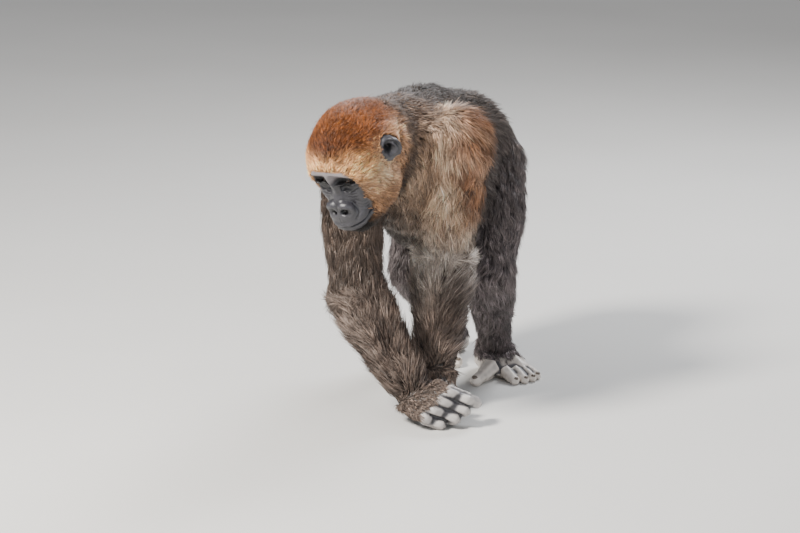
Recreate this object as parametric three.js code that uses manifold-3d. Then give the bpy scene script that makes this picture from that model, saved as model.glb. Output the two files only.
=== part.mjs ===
// A gorilla walking on its knuckles, as a still, life-size model. Millimetres, +Z up.
// It heads along -Y with its left side on +X, and stands on z = 0.
// Every outline is the outline of the coat's tips. The body is modelled as flesh, a smooth blend of
// muscles, which is wrapped bone by bone and parted at the joints with thin cuts.
import * as THREE from 'three';
import { mergeVertices } from 'three/addons/utils/BufferGeometryUtils.js';
import Module from 'manifold-3d';

const wasm = await Module();
wasm.setup();

// driving dimensions
const gap = 0.3; // between parts that touch
const fleshBlend = 34; // how softly one muscle runs into the next
const at = (x, y, z) => new THREE.Vector3(x, y, z);
const toPoint = (from, way, distance) => from.clone().addScaledVector(way, distance);

// joint centres of the standing animal
const joints = {
  neckBase: at(-42, -205, 668),
  chest: at(-58, -110, 640),
  loin: at(-66, 70, 615),
  pelvis: at(-44, 300, 585),
  shoulderL: at(92, -150, 652),
  elbowL: at(18, -18, 372),
  wristL: at(25, -108, 92),
  shoulderR: at(-158, -190, 640),
  elbowR: at(-124, -248, 296),
  wristR: at(27, -250, 66),
  hipL: at(27, 284, 532),
  kneeL: at(88, 99, 286),
  ankleL: at(50, 262, 78),
  hipR: at(-125, 316, 540),
  kneeR: at(-138, 190, 262),
  ankleR: at(-125, 402, 82),
};

// the head: where the point between the eyes is, and how the face is turned, in degrees
const face = { place: at(-71, -494, 626), turn: 14, nod: 34, tilt: 4.5 };

// lower limbs
const upperArm = { top: 78, middle: 73, end: 68 };
const forearm = { top: 68, belly: 67, wrist: 48 };
const thigh = { top: 90, middle: 82, end: 60 };
const shank = { calf: 53, ankle: 40 };

// flesh: distances to muscles
// a muscle that runs straight from a to b, thicker or thinner at either end
function muscle(a, b, ra, rb = ra) {
  const axis = b.clone().sub(a);
  const length2 = axis.lengthSq();
  const v = at(0, 0, 0);
  return (p) => {
    v.subVectors(p, a);
    const t = Math.min(1, Math.max(0, v.dot(axis) / length2));
    return v.addScaledVector(axis, -t).length() - (ra + (rb - ra) * t);
  };
}

// an egg-shaped mass, turned about z and then about x
function mass(centre, radii, turnZ = 0, turnX = 0) {
  const turn = new THREE.Matrix4().makeRotationFromEuler(
    new THREE.Euler(THREE.MathUtils.degToRad(turnX), 0, THREE.MathUtils.degToRad(turnZ), 'ZXY'),
  );
  const back = turn.invert();
  const v = at(0, 0, 0);
  return (p) => {
    v.subVectors(p, centre).applyMatrix4(back);
    const near = Math.hypot(v.x / radii[0], v.y / radii[1], v.z / radii[2]);
    const slope = Math.hypot(v.x / radii[0] ** 2, v.y / radii[1] ** 2, v.z / radii[2] ** 2);
    return slope === 0 ? -Math.min(...radii) : (near * (near - 1)) / slope;
  };
}

function softMin(a, b, k) {
  const h = Math.max(k - Math.abs(a - b), 0) / k;
  return Math.min(a, b) - (h * h * k) / 4;
}

const flesh = (shapes, k = fleshBlend) => (p) => shapes.reduce((d, shape) => softMin(d, shape(p), k), 1e6);
const hollowed = (body, hollow, k) => (p) => -softMin(-body(p), hollow(p), k);

// solids
// three.js geometry as a manifold solid, and back
function solidOf(geometry) {
  const bare = geometry.clone();
  bare.deleteAttribute('normal');
  bare.deleteAttribute('uv');
  const merged = mergeVertices(bare, 1e-3);
  return new wasm.Manifold(
    new wasm.Mesh({
      numProp: 3,
      vertProperties: new Float32Array(merged.attributes.position.array),
      triVerts: new Uint32Array(merged.index.array),
    }),
  );
}

function geometryOf(solid) {
  const mesh = solid.getMesh();
  const geometry = new THREE.BufferGeometry();
  geometry.setAttribute('position', new THREE.BufferAttribute(mesh.vertProperties, 3));
  geometry.setIndex(new THREE.BufferAttribute(mesh.triVerts, 1));
  const flat = geometry.toNonIndexed();
  flat.computeVertexNormals();
  return flat;
}

// the distance along a ray from inside the flesh to where it leaves it
function wayOut(body, from, direction, reach) {
  const step = 4;
  const p = at(0, 0, 0);
  let far = step;
  while (far < reach && body(p.copy(from).addScaledVector(direction, far)) < 0) far += step;
  let near = far - step;
  for (let i = 0; i < 22; i += 1) {
    const middle = (near + far) / 2;
    if (body(p.copy(from).addScaledVector(direction, middle)) < 0) near = middle;
    else far = middle;
  }
  return near;
}

// A ball drawn out along a bone, whose points slide outwards to the surface of the flesh.
// Its first and last rings, a share of them given by cap, close the ends.
function wrap(body, path, { sides, rings, cap = 0.2, reach = 240, grow = 0, side = at(1, 0, 0) }) {
  const curve = path.length > 2 ? new THREE.CatmullRomCurve3(path) : new THREE.LineCurve3(...path);
  const ball = new THREE.SphereGeometry(1, sides, rings);
  const points = ball.attributes.position;
  const unit = at(0, 0, 0);
  for (let i = 0; i < points.count; i += 1) {
    unit.fromBufferAttribute(points, i);
    const q = Math.acos(THREE.MathUtils.clamp(unit.y, -1, 1)) / Math.PI;
    const t = THREE.MathUtils.clamp((q - cap) / (1 - 2 * cap), 0, 1);
    const along = curve.getTangentAt(t);
    const across = side.clone().addScaledVector(along, -side.dot(along)).normalize();
    const third = along.clone().cross(across);
    const around = Math.hypot(unit.x, unit.z) || 1;
    const way = across.multiplyScalar(unit.x / around).addScaledVector(third, unit.z / around);
    let lean = 0; // 1 at a pole, 0 where the rays stand square to the bone
    if (q < cap) lean = -Math.cos(((q / cap) * Math.PI) / 2);
    if (q > 1 - cap) lean = Math.cos((((1 - q) / cap) * Math.PI) / 2);
    way.multiplyScalar(Math.sqrt(Math.max(0, 1 - lean * lean))).addScaledVector(along, lean).normalize();
    const from = curve.getPointAt(t);
    const out = toPoint(from, way, wayOut(body, from, way, reach) + grow);
    points.setXYZ(i, out.x, out.y, out.z);
  }
  return solidOf(ball);
}

// A ball whose points slide out from one centre; its poles lie along axis.
function swell(body, centre, axis, { sides, rings, reach = 60, grow = 0 }) {
  const ball = new THREE.SphereGeometry(1, sides, rings);
  const points = ball.attributes.position;
  const turn = new THREE.Quaternion().setFromUnitVectors(at(0, 1, 0), axis.clone().normalize());
  const direction = at(0, 0, 0);
  for (let i = 0; i < points.count; i += 1) {
    direction.fromBufferAttribute(points, i);
    direction.applyQuaternion(turn).normalize();
    const out = toPoint(centre, direction, wayOut(body, centre, direction, reach) + grow);
    points.setXYZ(i, out.x, out.y, out.z);
  }
  return solidOf(ball);
}

// Surface nets: one point in each cell of a grid that the flesh's surface crosses, pulled onto it.
// The grid's lines are given along x, y and z in frame's own axes.
function net(body, lines, frame) {
  const [nx, ny, nz] = lines.map((line) => line.length);
  const spot = (i, j, k) => at(lines[0][i], lines[1][j], lines[2][k]);
  const index = (i, j, k) => (i * ny + j) * nz + k;
  const value = new Float64Array(nx * ny * nz);
  for (let i = 0; i < nx; i += 1) {
    for (let j = 0; j < ny; j += 1) {
      for (let k = 0; k < nz; k += 1) {
        const onEdge = i % (nx - 1) === 0 || j % (ny - 1) === 0 || k % (nz - 1) === 0;
        value[index(i, j, k)] = onEdge ? 1 : body(spot(i, j, k));
      }
    }
  }
  const points = [];
  const pointOf = new Map();
  for (let i = 0; i + 1 < nx; i += 1) {
    for (let j = 0; j + 1 < ny; j += 1) {
      for (let k = 0; k + 1 < nz; k += 1) {
        const sum = at(0, 0, 0);
        let crossings = 0;
        for (const [a, b] of cellEdges) {
          const va = value[index(i + a[0], j + a[1], k + a[2])];
          const vb = value[index(i + b[0], j + b[1], k + b[2])];
          if (va < 0 === vb < 0) continue;
          const start = spot(i + a[0], j + a[1], k + a[2]);
          sum.add(start.lerp(spot(i + b[0], j + b[1], k + b[2]), va / (va - vb)));
          crossings += 1;
        }
        if (!crossings) continue;
        pointOf.set(index(i, j, k), points.length / 3);
        sum.divideScalar(crossings);
        const inner = i > 0 && j > 0 && k > 0 && i + 2 < nx && j + 2 < ny && k + 2 < nz;
        if (inner) ontoSurface(body, sum);
        points.push(...sum.applyMatrix4(frame).toArray());
      }
    }
  }
  const faces = [];
  const steps = [[1, 0, 0], [0, 1, 0], [0, 0, 1]];
  for (let i = 0; i + 1 < nx; i += 1) {
    for (let j = 0; j + 1 < ny; j += 1) {
      for (let k = 0; k + 1 < nz; k += 1) {
        steps.forEach((step, axis) => {
          const inside = value[index(i, j, k)] < 0;
          if (inside === value[index(i + step[0], j + step[1], k + step[2])] < 0) return;
          const u = steps[(axis + 1) % 3];
          const v = steps[(axis + 2) % 3];
          const cell = (a, b) => {
            const shift = [0, 1, 2].map((c) => a * u[c] + b * v[c]);
            return pointOf.get(index(i - shift[0], j - shift[1], k - shift[2]));
          };
          const quad = [cell(1, 1), cell(0, 1), cell(0, 0), cell(1, 0)];
          if (!inside) quad.reverse();
          faces.push(quad[0], quad[1], quad[2], quad[0], quad[2], quad[3]);
        });
      }
    }
  }
  const geometry = new THREE.BufferGeometry();
  geometry.setAttribute('position', new THREE.Float32BufferAttribute(points, 3));
  geometry.setIndex(faces);
  return solidOf(geometry);
}

// the twelve edges of a grid cell, each from one corner to another
const corners = [0, 1, 2, 3, 4, 5, 6, 7].map((c) => [c & 1, (c >> 1) & 1, (c >> 2) & 1]);
const cellEdges = [];
for (const a of corners) {
  for (let c = 0; c < 3; c += 1) {
    if (a[c] === 0) cellEdges.push([a, a.map((value, d) => (d === c ? 1 : value))]);
  }
}

function ontoSurface(body, p) {
  const reach = 1;
  const across = (x, y, z) => body(at(p.x + x, p.y + y, p.z + z)) - body(at(p.x - x, p.y - y, p.z - z));
  for (let i = 0; i < 3; i += 1) {
    const slope = at(across(reach, 0, 0), across(0, reach, 0), across(0, 0, reach)).divideScalar(2 * reach);
    p.addScaledVector(slope, -body(p) / Math.max(slope.lengthSq(), 0.25));
  }
  return p;
}

// lines from low to high, drawn together towards focus where draw is over 1
function gridLines(low, high, focus, count, draw) {
  return Array.from({ length: count }, (_, i) => {
    const share = (focus - low) / (high - low);
    const t = i / (count - 1) - share;
    const side = t < 0 ? share : 1 - share;
    return focus + Math.sign(t) * side * (high - low) * Math.abs(t / side) ** draw;
  });
}

// a straight tapered rod with round ends
function rod(a, b, ra, rb, { rings, grow }) {
  const side = Math.abs(b.x - a.x) > Math.abs(b.z - a.z) ? at(0, 0, 1) : at(1, 0, 0);
  return wrap(muscle(a, b, ra, rb), [a, b], { sides: 6, rings, cap: 0.34, grow, side });
}

// keeps what lies on the side of a plane that its normal points to, less half the gap
function keep(solid, point, normal) {
  const n = normal.clone().normalize();
  return solid.trimByPlane([n.x, n.y, n.z], n.dot(point) + gap / 2);
}

const join = (solids) => solids.reduce((all, one) => all.add(one));
const largest = (solid) => solid.decompose().sort((a, b) => b.volume() - a.volume())[0];
const direction = (a, b) => b.clone().sub(a).normalize();
const between = (a, b, t) => a.clone().lerp(b, t);
const onFloor = (solid) => solid.trimByPlane([0, 0, 1], 0);

// the animal's muscles
const j = joints;

const trunkMuscles = [
  mass(at(-54, -150, 625), [120, 125, 135]), // shoulders and breast
  mass(at(-62, -10, 582), [146, 200, 182], -4), // rib cage
  mass(at(-62, 122, 514), [158, 162, 200], 4), // belly
  mass(at(-40, 262, 592), [132, 118, 114], 8, -20), // pelvis
  mass(at(2, 338, 540), [66, 76, 88], 20, -20), // seat, left
  mass(at(-92, 350, 540), [66, 76, 88], 0, -20), // seat, right
  muscle(at(-54, -165, 672), at(-62, 60, 698), 54, 54), // spine and back muscles
  muscle(at(-62, 60, 698), at(-34, 285, 650), 54, 56),
  muscle(at(38, -140, 672), at(0, 20, 650), 66, 68), // shoulder blade, left
  muscle(at(-138, -165, 672), at(-122, 10, 650), 66, 68), // shoulder blade, right
  muscle(at(-20, -220, 676), at(78, -172, 680), 58, 60), // from neck to shoulder, left
  muscle(at(-60, -230, 676), at(-140, -185, 680), 56, 50), // from neck to shoulder, right
];

const neckMuscles = [
  muscle(at(-50, -170, 672), at(-50, -350, 688), 98, 86),
  muscle(at(-50, -200, 612), at(-58, -350, 612), 84, 68), // throat
  muscle(at(-50, -140, 690), at(-46, -330, 718), 62, 58), // nape
];

function armMuscles(shoulder, elbow, wrist, girth) {
  const low = between(elbow, wrist, 0.3);
  return [
    mass(shoulder.clone().add(at(0, -4, 10)), [88 * girth, 98, 94]), // deltoid
    muscle(shoulder, between(shoulder, elbow, 0.55), upperArm.top * girth, upperArm.middle * girth),
    muscle(between(shoulder, elbow, 0.5), elbow, upperArm.middle * girth, upperArm.end * girth),
    muscle(elbow, low, upperArm.end * girth - 2, forearm.belly * girth),
    muscle(low, wrist, forearm.belly * girth, forearm.wrist),
  ];
}

function legMuscles(hip, knee, ankle) {
  const calf = between(knee, ankle, 0.32).add(at(0, 10, 0));
  return [
    muscle(hip, between(hip, knee, 0.5), thigh.top, thigh.middle),
    muscle(between(hip, knee, 0.5), knee, thigh.middle, thigh.end),
    muscle(knee, calf, thigh.end - 4, shank.calf),
    muscle(calf, ankle, shank.calf, shank.ankle),
  ];
}

const armL = armMuscles(j.shoulderL, j.elbowL, j.wristL, 1);
const armR = armMuscles(j.shoulderR, j.elbowR, j.wristR, 0.9);
const legL = legMuscles(j.hipL, j.kneeL, j.ankleL);
const legR = legMuscles(j.hipR, j.kneeR, j.ankleR);
const trunkFlesh = flesh([...trunkMuscles, ...neckMuscles]);

// the head
// Its own frame has the point between the eyes at the origin, x to its left, -y forward, z up.
const headFrame = new THREE.Matrix4()
  .makeRotationFromEuler(
    new THREE.Euler(
      THREE.MathUtils.degToRad(face.nod),
      THREE.MathUtils.degToRad(-face.tilt),
      THREE.MathUtils.degToRad(-face.turn),
      'ZXY',
    ),
  )
  .setPosition(face.place);
const onHead = (x, y, z) => at(x, y, z).applyMatrix4(headFrame);
const alongHead = (x, y, z) => at(x, y, z).transformDirection(headFrame);
const intoHead = headFrame.clone().invert();

const eye = { apart: 32, back: 7, radius: 12.5 };
const ear = { out: 97, back: 103, up: 15, tall: 32, wide: 26.5, turn: 61 };

function pair(shape) {
  return [shape(1), shape(-1)];
}

const skull = [
  mass(at(0, 96, 34), [96, 112, 90]), // crown
  mass(at(0, 160, 0), [92, 88, 84]), // occiput
  mass(at(0, 34, 52), [74, 58, 52]), // forehead
  muscle(at(-46, -6, 20), at(46, -6, 20), 17, 17), // brow
  ...pair((s) => muscle(at(s * 40, -6, 20), at(s * 70, 14, 14), 17, 16)),
  ...pair((s) => mass(at(s * 62, 62, -22), [36, 64, 76])), // cheek
  ...pair((s) => muscle(at(s * 54, 78, -80), at(s * 26, -2, -112), 38, 30)), // jaw
  mass(at(0, 70, -100), [58, 70, 52]), // throat
];
const muzzle = [
  mass(at(0, 2, -84), [54, 48, 46]),
  mass(at(0, -18, -88), [44, 31, 27]), // upper lip
  mass(at(0, -10, -120), [38, 30, 25]), // chin
  muscle(at(0, 2, 0), at(0, -18, -42), 14, 17), // bridge of the nose
  mass(at(0, -22, -55), [27, 20, 19]), // tip and wings of the nose
  ...pair((s) => mass(at(s * 36, 6, -38), [28, 20, 28])), // under the eye
];
const sockets = pair((s) => mass(at(s * eye.apart, -8, -4), [22, 15, 12]));
const headHollows = flesh(sockets, 3);

const skullFlesh = flesh(skull, 26);
const muzzleFlesh = flesh(muzzle, 16);
const headOnly = hollowed((p) => softMin(skullFlesh(p), muzzleFlesh(p), 20), headHollows, 12);
const localPoint = at(0, 0, 0);
const headFlesh = (p) => softMin(headOnly(localPoint.copy(p).applyMatrix4(intoHead)), trunkFlesh(p), 30);
const headInPlace = (p) => headFlesh(p.clone().applyMatrix4(headFrame));

// the nape and throat part here
const headCut = { point: onHead(0, 150, -10), normal: alongHead(0, -0.86, 0.5) };

const eyes = pair((s) => {
  const centre = onHead(s * eye.apart, eye.back, 0);
  const ball = (grow) => {
    const sphere = new THREE.SphereGeometry(eye.radius + grow, 8, 6);
    return solidOf(sphere.translate(centre.x, centre.y, centre.z));
  };
  return { solid: ball(0), room: ball(gap) };
});

// An ear: a plate with a rolled rim and a hollow, standing a little out from the head.
function earSolid(s, grow) {
  const tip = (a, r) => at(Math.sin(a) * ear.wide * r, 0, Math.cos(a) * ear.tall * r);
  const rim = [];
  const turns = 7;
  for (let i = 0; i < turns; i += 1) {
    const a0 = -1.3 + (i * 3.9) / turns;
    const a1 = -1.3 + ((i + 1) * 3.9) / turns;
    rim.push(muscle(tip(a0, 0.8), tip(a1, 0.8), 5.5));
  }
  const plate = mass(at(0, 3, 0), [ear.wide - 3, 9, ear.tall - 3]);
  const lobe = muscle(at(2, 0, -14), at(6, 0, -22), 8, 7);
  const shell = flesh([plate, lobe, ...rim], 5);
  const hollow = mass(at(-2, -8, 0), [10, 9, 12]);
  const shape = hollowed(shell, hollow, 4);
  const made = swell(shape, at(0, 3, 0), at(0, -1, 0), { sides: 12, rings: 8, grow });
  const turn = new THREE.Matrix4().makeRotationFromEuler(
    new THREE.Euler(0, 0, THREE.MathUtils.degToRad(s * ear.turn), 'ZXY'),
  );
  if (s < 0) turn.multiply(new THREE.Matrix4().makeScale(-1, 1, 1));
  turn.setPosition(s * ear.out, ear.back, ear.up);
  return made.transform(headFrame.clone().multiply(turn).toArray());
}

const ears = pair((s) => ({ solid: earSolid(s, 0), room: earSolid(s, gap) }));

const headGrid = [
  gridLines(-132, 132, 0, 14, 1.2),
  gridLines(-72, 275, -72, 17, 1.5),
  gridLines(-200, 165, -50, 19, 1.2),
];
let head = net(headInPlace, headGrid, headFrame);
head = keep(head, headCut.point, headCut.normal);
for (const feature of [...eyes, ...ears]) head = head.subtract(feature.room);
head = largest(head);

// limbs: an upper and a lower length, cut where they meet, and the room that they take up;
// inward is the plane that the upper length stays outside of
function limb(muscles, top, middle, end, inward) {
  const shape = flesh(muscles);
  const bend = direction(top, middle).add(direction(middle, end)).normalize();
  const upperWrap = (grow) => {
    const wrapped = wrap(shape, [top, middle], { sides: 12, rings: 8, cap: 0.3, grow });
    return inward ? keep(wrapped, inward.point, inward.normal) : wrapped;
  };
  const upper = keep(upperWrap(0), middle, bend.clone().negate());
  let lower = wrap(shape, [middle, end], { sides: 12, rings: 8, cap: 0.2 });
  lower = keep(lower, middle, bend);
  lower = keep(lower, end, direction(end, middle));
  return { upper, lower, room: upperWrap(gap) };
}

const armPartsL = limb(armL, j.shoulderL, j.elbowL, j.wristL);
const armPartsR = limb(armR, j.shoulderR, j.elbowR, j.wristR);
const crotch = between(j.hipL, j.hipR, 0.5);
const legPartsL = limb(legL, j.hipL, j.kneeL, j.ankleL, { point: crotch, normal: at(1, 0, 0) });
const legPartsR = limb(legR, j.hipR, j.kneeR, j.ankleR, { point: crotch, normal: at(-1, 0, 0) });
const limbRooms = [armPartsL, armPartsR, legPartsL, legPartsR].map((parts) => parts.room);
const withoutLimbs = (solid) => largest(limbRooms.reduce((rest, room) => rest.subtract(room), solid));

// trunk and neck
const spine = [at(-44, 335, 555), at(-46, 280, 585), j.loin, j.chest, j.neckBase];
const neckCut = { point: at(-46, -262, 690), normal: at(-0.05, -1, 0.05) };
const waist = { point: at(-64, 45, 600), normal: at(0, -1, 0) };
const groin = { point: at(-56, 205, 580), normal: at(0.1, -1, 0) };
const behind = (cut) => [cut.point, cut.normal.clone().negate()];

let trunk = wrap(trunkFlesh, spine, { sides: 16, rings: 16, cap: 0.14, reach: 320 });
trunk = keep(trunk, ...behind(neckCut));
const chest = withoutLimbs(keep(trunk, waist.point, waist.normal));
const belly = withoutLimbs(keep(keep(trunk, ...behind(waist)), groin.point, groin.normal));
const pelvis = withoutLimbs(keep(trunk, ...behind(groin)));

const neckPath = [at(-46, -205, 690), onHead(0, 110, -10)];
let neck = wrap(headFlesh, neckPath, { sides: 18, rings: 7, cap: 0.1 });
neck = keep(neck, neckCut.point, neckCut.normal);
neck = keep(neck, ...behind(headCut));
for (const feature of ears) neck = neck.subtract(feature.room);
neck = withoutLimbs(neck);

// hands: a palm with four fingers curled under it, and a thumb
const phalanges = [[50, 32, 22], [58, 35, 24], [55, 33, 22], [44, 26, 20]]; // index to little finger
const fingerRadii = [17, 18, 17.5, 15];
const knuckleRise = [0, 3, 1, -5]; // how far each knuckle stands in front of their row
const knucklePitch = 27;

// a nail lies on the last bone of a digit, on the side that way points to
function nailOn(from, to, way, radius, digitRoom) {
  const along = direction(from, to);
  const up = way.clone().addScaledVector(along, -way.dot(along)).normalize();
  const plate = new THREE.SphereGeometry(1, 6, 2);
  plate.scale(radius * 0.66, radius * 0.8, radius * 0.34);
  const middle = toPoint(toPoint(to, up, radius * 0.78), along, radius * 0.25);
  const basis = new THREE.Matrix4().makeBasis(along.clone().cross(up).negate(), along, up);
  if (basis.determinant() < 0) basis.makeBasis(along.clone().cross(up), along, up);
  plate.applyMatrix4(basis.setPosition(middle));
  return largest(onFloor(solidOf(plate).subtract(digitRoom)));
}

function digit(points, radii, grow = 0) {
  // each bone after the first starts a little slimmer than the joint before it
  const rods = points.slice(1).map((end, i) => {
    const start = radii[i] * (i ? 0.86 : 1);
    return rod(points[i], end, start, radii[i + 1], { grow, rings: 3 });
  });
  return join(rods);
}

// knuckles is the middle of the knuckle row, across runs from the index to the little finger,
// forward along the first bones, and palmward to where the fingers curl
function hand({ wrist, elbow, knuckles, across, forward, palmward, curls, thumb }) {
  const roots = [];
  const nails = [];
  const fingers = [];
  for (let i = 0; i < 4; i += 1) {
    const root = toPoint(toPoint(knuckles, across, (i - 1.5) * knucklePitch), forward, knuckleRise[i]);
    roots.push(root);
    const points = [root];
    for (let k = 0; k < 3; k += 1) {
      const a = THREE.MathUtils.degToRad(curls[i][k]);
      const way = forward.clone().multiplyScalar(Math.cos(a)).addScaledVector(palmward, Math.sin(a));
      points.push(toPoint(points[k], way.normalize(), phalanges[i][k]));
    }
    const r = fingerRadii[i];
    const radii = [r, r, r * 0.86, r * 0.74];
    fingers.push(digit(points, radii));
    const last = THREE.MathUtils.degToRad(curls[i][2] - 90);
    const nailWay = forward.clone().multiplyScalar(Math.cos(last)).addScaledVector(palmward, Math.sin(last));
    nails.push(nailOn(points[2], points[3], nailWay, radii[3], digit(points, radii, gap)));
  }
  const palmBones = roots.map((root, i) => muscle(toPoint(wrist, across, (i - 1.5) * 12), root, 32, 18));
  const wristEnd = muscle(between(elbow, wrist, 0.7), wrist, forearm.wrist + 8, forearm.wrist);
  const palmFlesh = flesh([...palmBones, wristEnd], 14);
  let palm = wrap(palmFlesh, [wrist, knuckles], { sides: 9, rings: 6, cap: 0.24, side: across });
  palm = keep(palm, wrist, direction(elbow, wrist));
  const thumbRadii = [19, 15, 13, 10];
  const thumbRoom = digit(thumb, thumbRadii, gap);
  const nailSide = direction(knuckles, between(thumb[1], thumb[2], 0.5));
  const thumbNail = nailOn(thumb[2], thumb[3], nailSide, thumbRadii[3], thumbRoom);
  let whole = join([palm, ...fingers]);
  whole = largest(onFloor(whole).subtract(thumbRoom));
  const thumbSolid = largest(onFloor(keep(digit(thumb, thumbRadii), wrist, direction(elbow, wrist))));
  return { hand: whole, thumb: thumbSolid, thumbNail, nails };
}

const handL = hand({
  wrist: j.wristL,
  elbow: j.elbowL,
  knuckles: at(36, -146, 56),
  across: direction(at(0, 0, 0), at(0.97, 0.21, 0)),
  forward: direction(at(0, 0, 0), at(0.12, -0.72, -0.68)),
  palmward: direction(at(0, 0, 0), at(-0.12, 0.68, -0.72)),
  curls: [[0, 125, 190], [0, 125, 190], [0, 125, 190], [0, 125, 190]],
  thumb: [at(0, -112, 74), at(-24, -128, 58), at(-30, -148, 38), at(-24, -160, 22)],
});
const handR = hand({
  wrist: j.wristR,
  elbow: j.elbowR,
  knuckles: at(99, -292, 58),
  across: direction(at(0, 0, 0), at(-0.52, -0.42, -0.74)),
  forward: direction(at(0, 0, 0), at(0.85, 0.34, -0.38)),
  palmward: direction(at(0, 0, 0), at(-0.36, 0.88, -0.22)),
  curls: [[0, 48, 80], [4, 86, 150], [6, 92, 160], [8, 96, 160]],
  thumb: [at(50, -232, 84), at(80, -220, 80), at(106, -206, 70), at(122, -196, 56)],
});

// feet: a sole with four toes, and a great toe that stands off like a thumb
function foot({ ankle, knee, out, s }) {
  const a = THREE.MathUtils.degToRad(out * s);
  const fore = at(Math.sin(a), -Math.cos(a), 0);
  const outside = at(Math.cos(a) * s, Math.sin(a) * s, 0);
  const on = (f, l, z) => at(ankle.x, ankle.y, 0).addScaledVector(fore, f).addScaledVector(outside, l).setZ(z);
  const bases = [on(84, -20, 22), on(88, 4, 21), on(84, 26, 19), on(74, 46, 17)];
  const ends = [on(114, -22, 13), on(118, 3, 13), on(114, 27, 13), on(102, 48, 12)];
  const tips = [on(131, -23, 9), on(135, 3, 9), on(130, 28, 9), on(117, 50, 9)];
  const toes = bases.map((base, i) => digit([base, ends[i], tips[i]], [15, 13, 10.5]));
  const toeRooms = bases.map((base, i) => digit([base, ends[i], tips[i]], [15, 13, 10.5], gap));
  const outward = (p) => p.clone().sub(ankle).dot(outside);
  const great = [on(52, -46, 27), on(76, -86, 18), on(96, -118, 14)];
  const greatRadii = [24, 17, 13.5];
  const greatRoom = digit(great, greatRadii, gap);
  const soleFlesh = flesh(
    [
      mass(on(-34, 2, 24), [33, 33, 30]),
      muscle(ankle.clone().setZ(112), ankle.clone().setZ(70), shank.ankle + 1, shank.ankle),
      muscle(on(-14, 0, 44), on(40, -6, 34), 38, 34),
      ...bases.map((base) => muscle(on(20, outward(base) * 0.5, 34), base, 26, 17)),
      muscle(on(0, -6, 34), great[0], 30, 25),
    ],
    16,
  );
  const soleLine = [on(-30, 2, 34), on(66, 6, 24)];
  let sole = wrap(soleFlesh, soleLine, { sides: 11, rings: 8, cap: 0.2, side: outside });
  sole = keep(sole, ankle, direction(knee, ankle));
  const up = at(0, 0, 1);
  const nails = bases.map((base, i) => nailOn(ends[i], tips[i], up, 10.5, toeRooms[i]));
  const greatNail = nailOn(great[1], great[2], up, greatRadii[2], greatRoom);
  let whole = onFloor(join([sole, ...toes])).subtract(greatRoom);
  whole = largest(whole);
  const greatToe = largest(onFloor(digit(great, greatRadii)));
  return { foot: whole, greatToe, greatNail, nails };
}

const footL = foot({ ankle: j.ankleL, knee: j.kneeL, out: 52, s: 1 });
const footR = foot({ ankle: j.ankleR, knee: j.kneeR, out: 22, s: -1 });

// finishes
const finish = (color, roughness) => new THREE.MeshStandardMaterial({ color, roughness, metalness: 0 });
const coats = {
  crown: finish(0x8a5230, 0.85),
  back: finish(0x3a3836, 0.85),
  flank: finish(0x231f1d, 0.85),
  arm: finish(0x6b5a4c, 0.85),
  leg: finish(0x3b3431, 0.85),
  skin: finish(0x3c3d42, 0.45),
  pad: finish(0x9a9a9c, 0.6),
  eye: finish(0x2a1a10, 0.1),
  nail: finish(0x8c7858, 0.4),
};

const parts = [
  ['head', head, coats.crown],
  ['neck', neck, coats.back],
  ['chest', chest, coats.back],
  ['belly', belly, coats.flank],
  ['pelvis', pelvis, coats.flank],
];
const fingerNames = ['index', 'middle', 'ring', 'little'];
const toeNames = ['second', 'third', 'fourth', 'fifth'];
const sides = [
  ['left', eyes[0], ears[0], armPartsL, handL, legPartsL, footL],
  ['right', eyes[1], ears[1], armPartsR, handR, legPartsR, footR],
];
for (const [name, oneEye, oneEar, arm, oneHand, leg, oneFoot] of sides) {
  parts.push([`eye_${name}`, oneEye.solid, coats.eye]);
  parts.push([`ear_${name}`, oneEar.solid, coats.skin]);
  parts.push([`upper_arm_${name}`, arm.upper, coats.arm]);
  parts.push([`forearm_${name}`, arm.lower, coats.arm]);
  parts.push([`hand_${name}`, oneHand.hand, coats.pad]);
  parts.push([`thumb_${name}`, oneHand.thumb, coats.pad]);
  parts.push([`thigh_${name}`, leg.upper, coats.leg]);
  parts.push([`shank_${name}`, leg.lower, coats.leg]);
  parts.push([`foot_${name}`, oneFoot.foot, coats.pad]);
  parts.push([`great_toe_${name}`, oneFoot.greatToe, coats.pad]);
  parts.push([`nail_thumb_${name}`, oneHand.thumbNail, coats.nail]);
  parts.push([`nail_great_toe_${name}`, oneFoot.greatNail, coats.nail]);
  fingerNames.forEach((finger, i) => parts.push([`nail_${finger}_finger_${name}`, oneHand.nails[i], coats.nail]));
  toeNames.forEach((toe, i) => parts.push([`nail_${toe}_toe_${name}`, oneFoot.nails[i], coats.nail]));
}

const gorilla = new THREE.Group();
const box = new THREE.Box3();
for (const [name, solid, material] of parts) {
  const mesh = new THREE.Mesh(geometryOf(solid), material);
  mesh.name = name;
  box.expandByObject(mesh);
  gorilla.add(mesh);
}
// the origin is on the floor under the middle of the animal
gorilla.position.set(-(box.min.x + box.max.x) / 2, -(box.min.y + box.max.y) / 2, -box.min.z);

export default gorilla;
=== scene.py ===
import math
import time
import bmesh
import bpy
import numpy as np
from mathutils import Euler, Matrix, Vector
from mathutils.bvhtree import BVHTree
from mathutils.kdtree import KDTree


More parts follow.
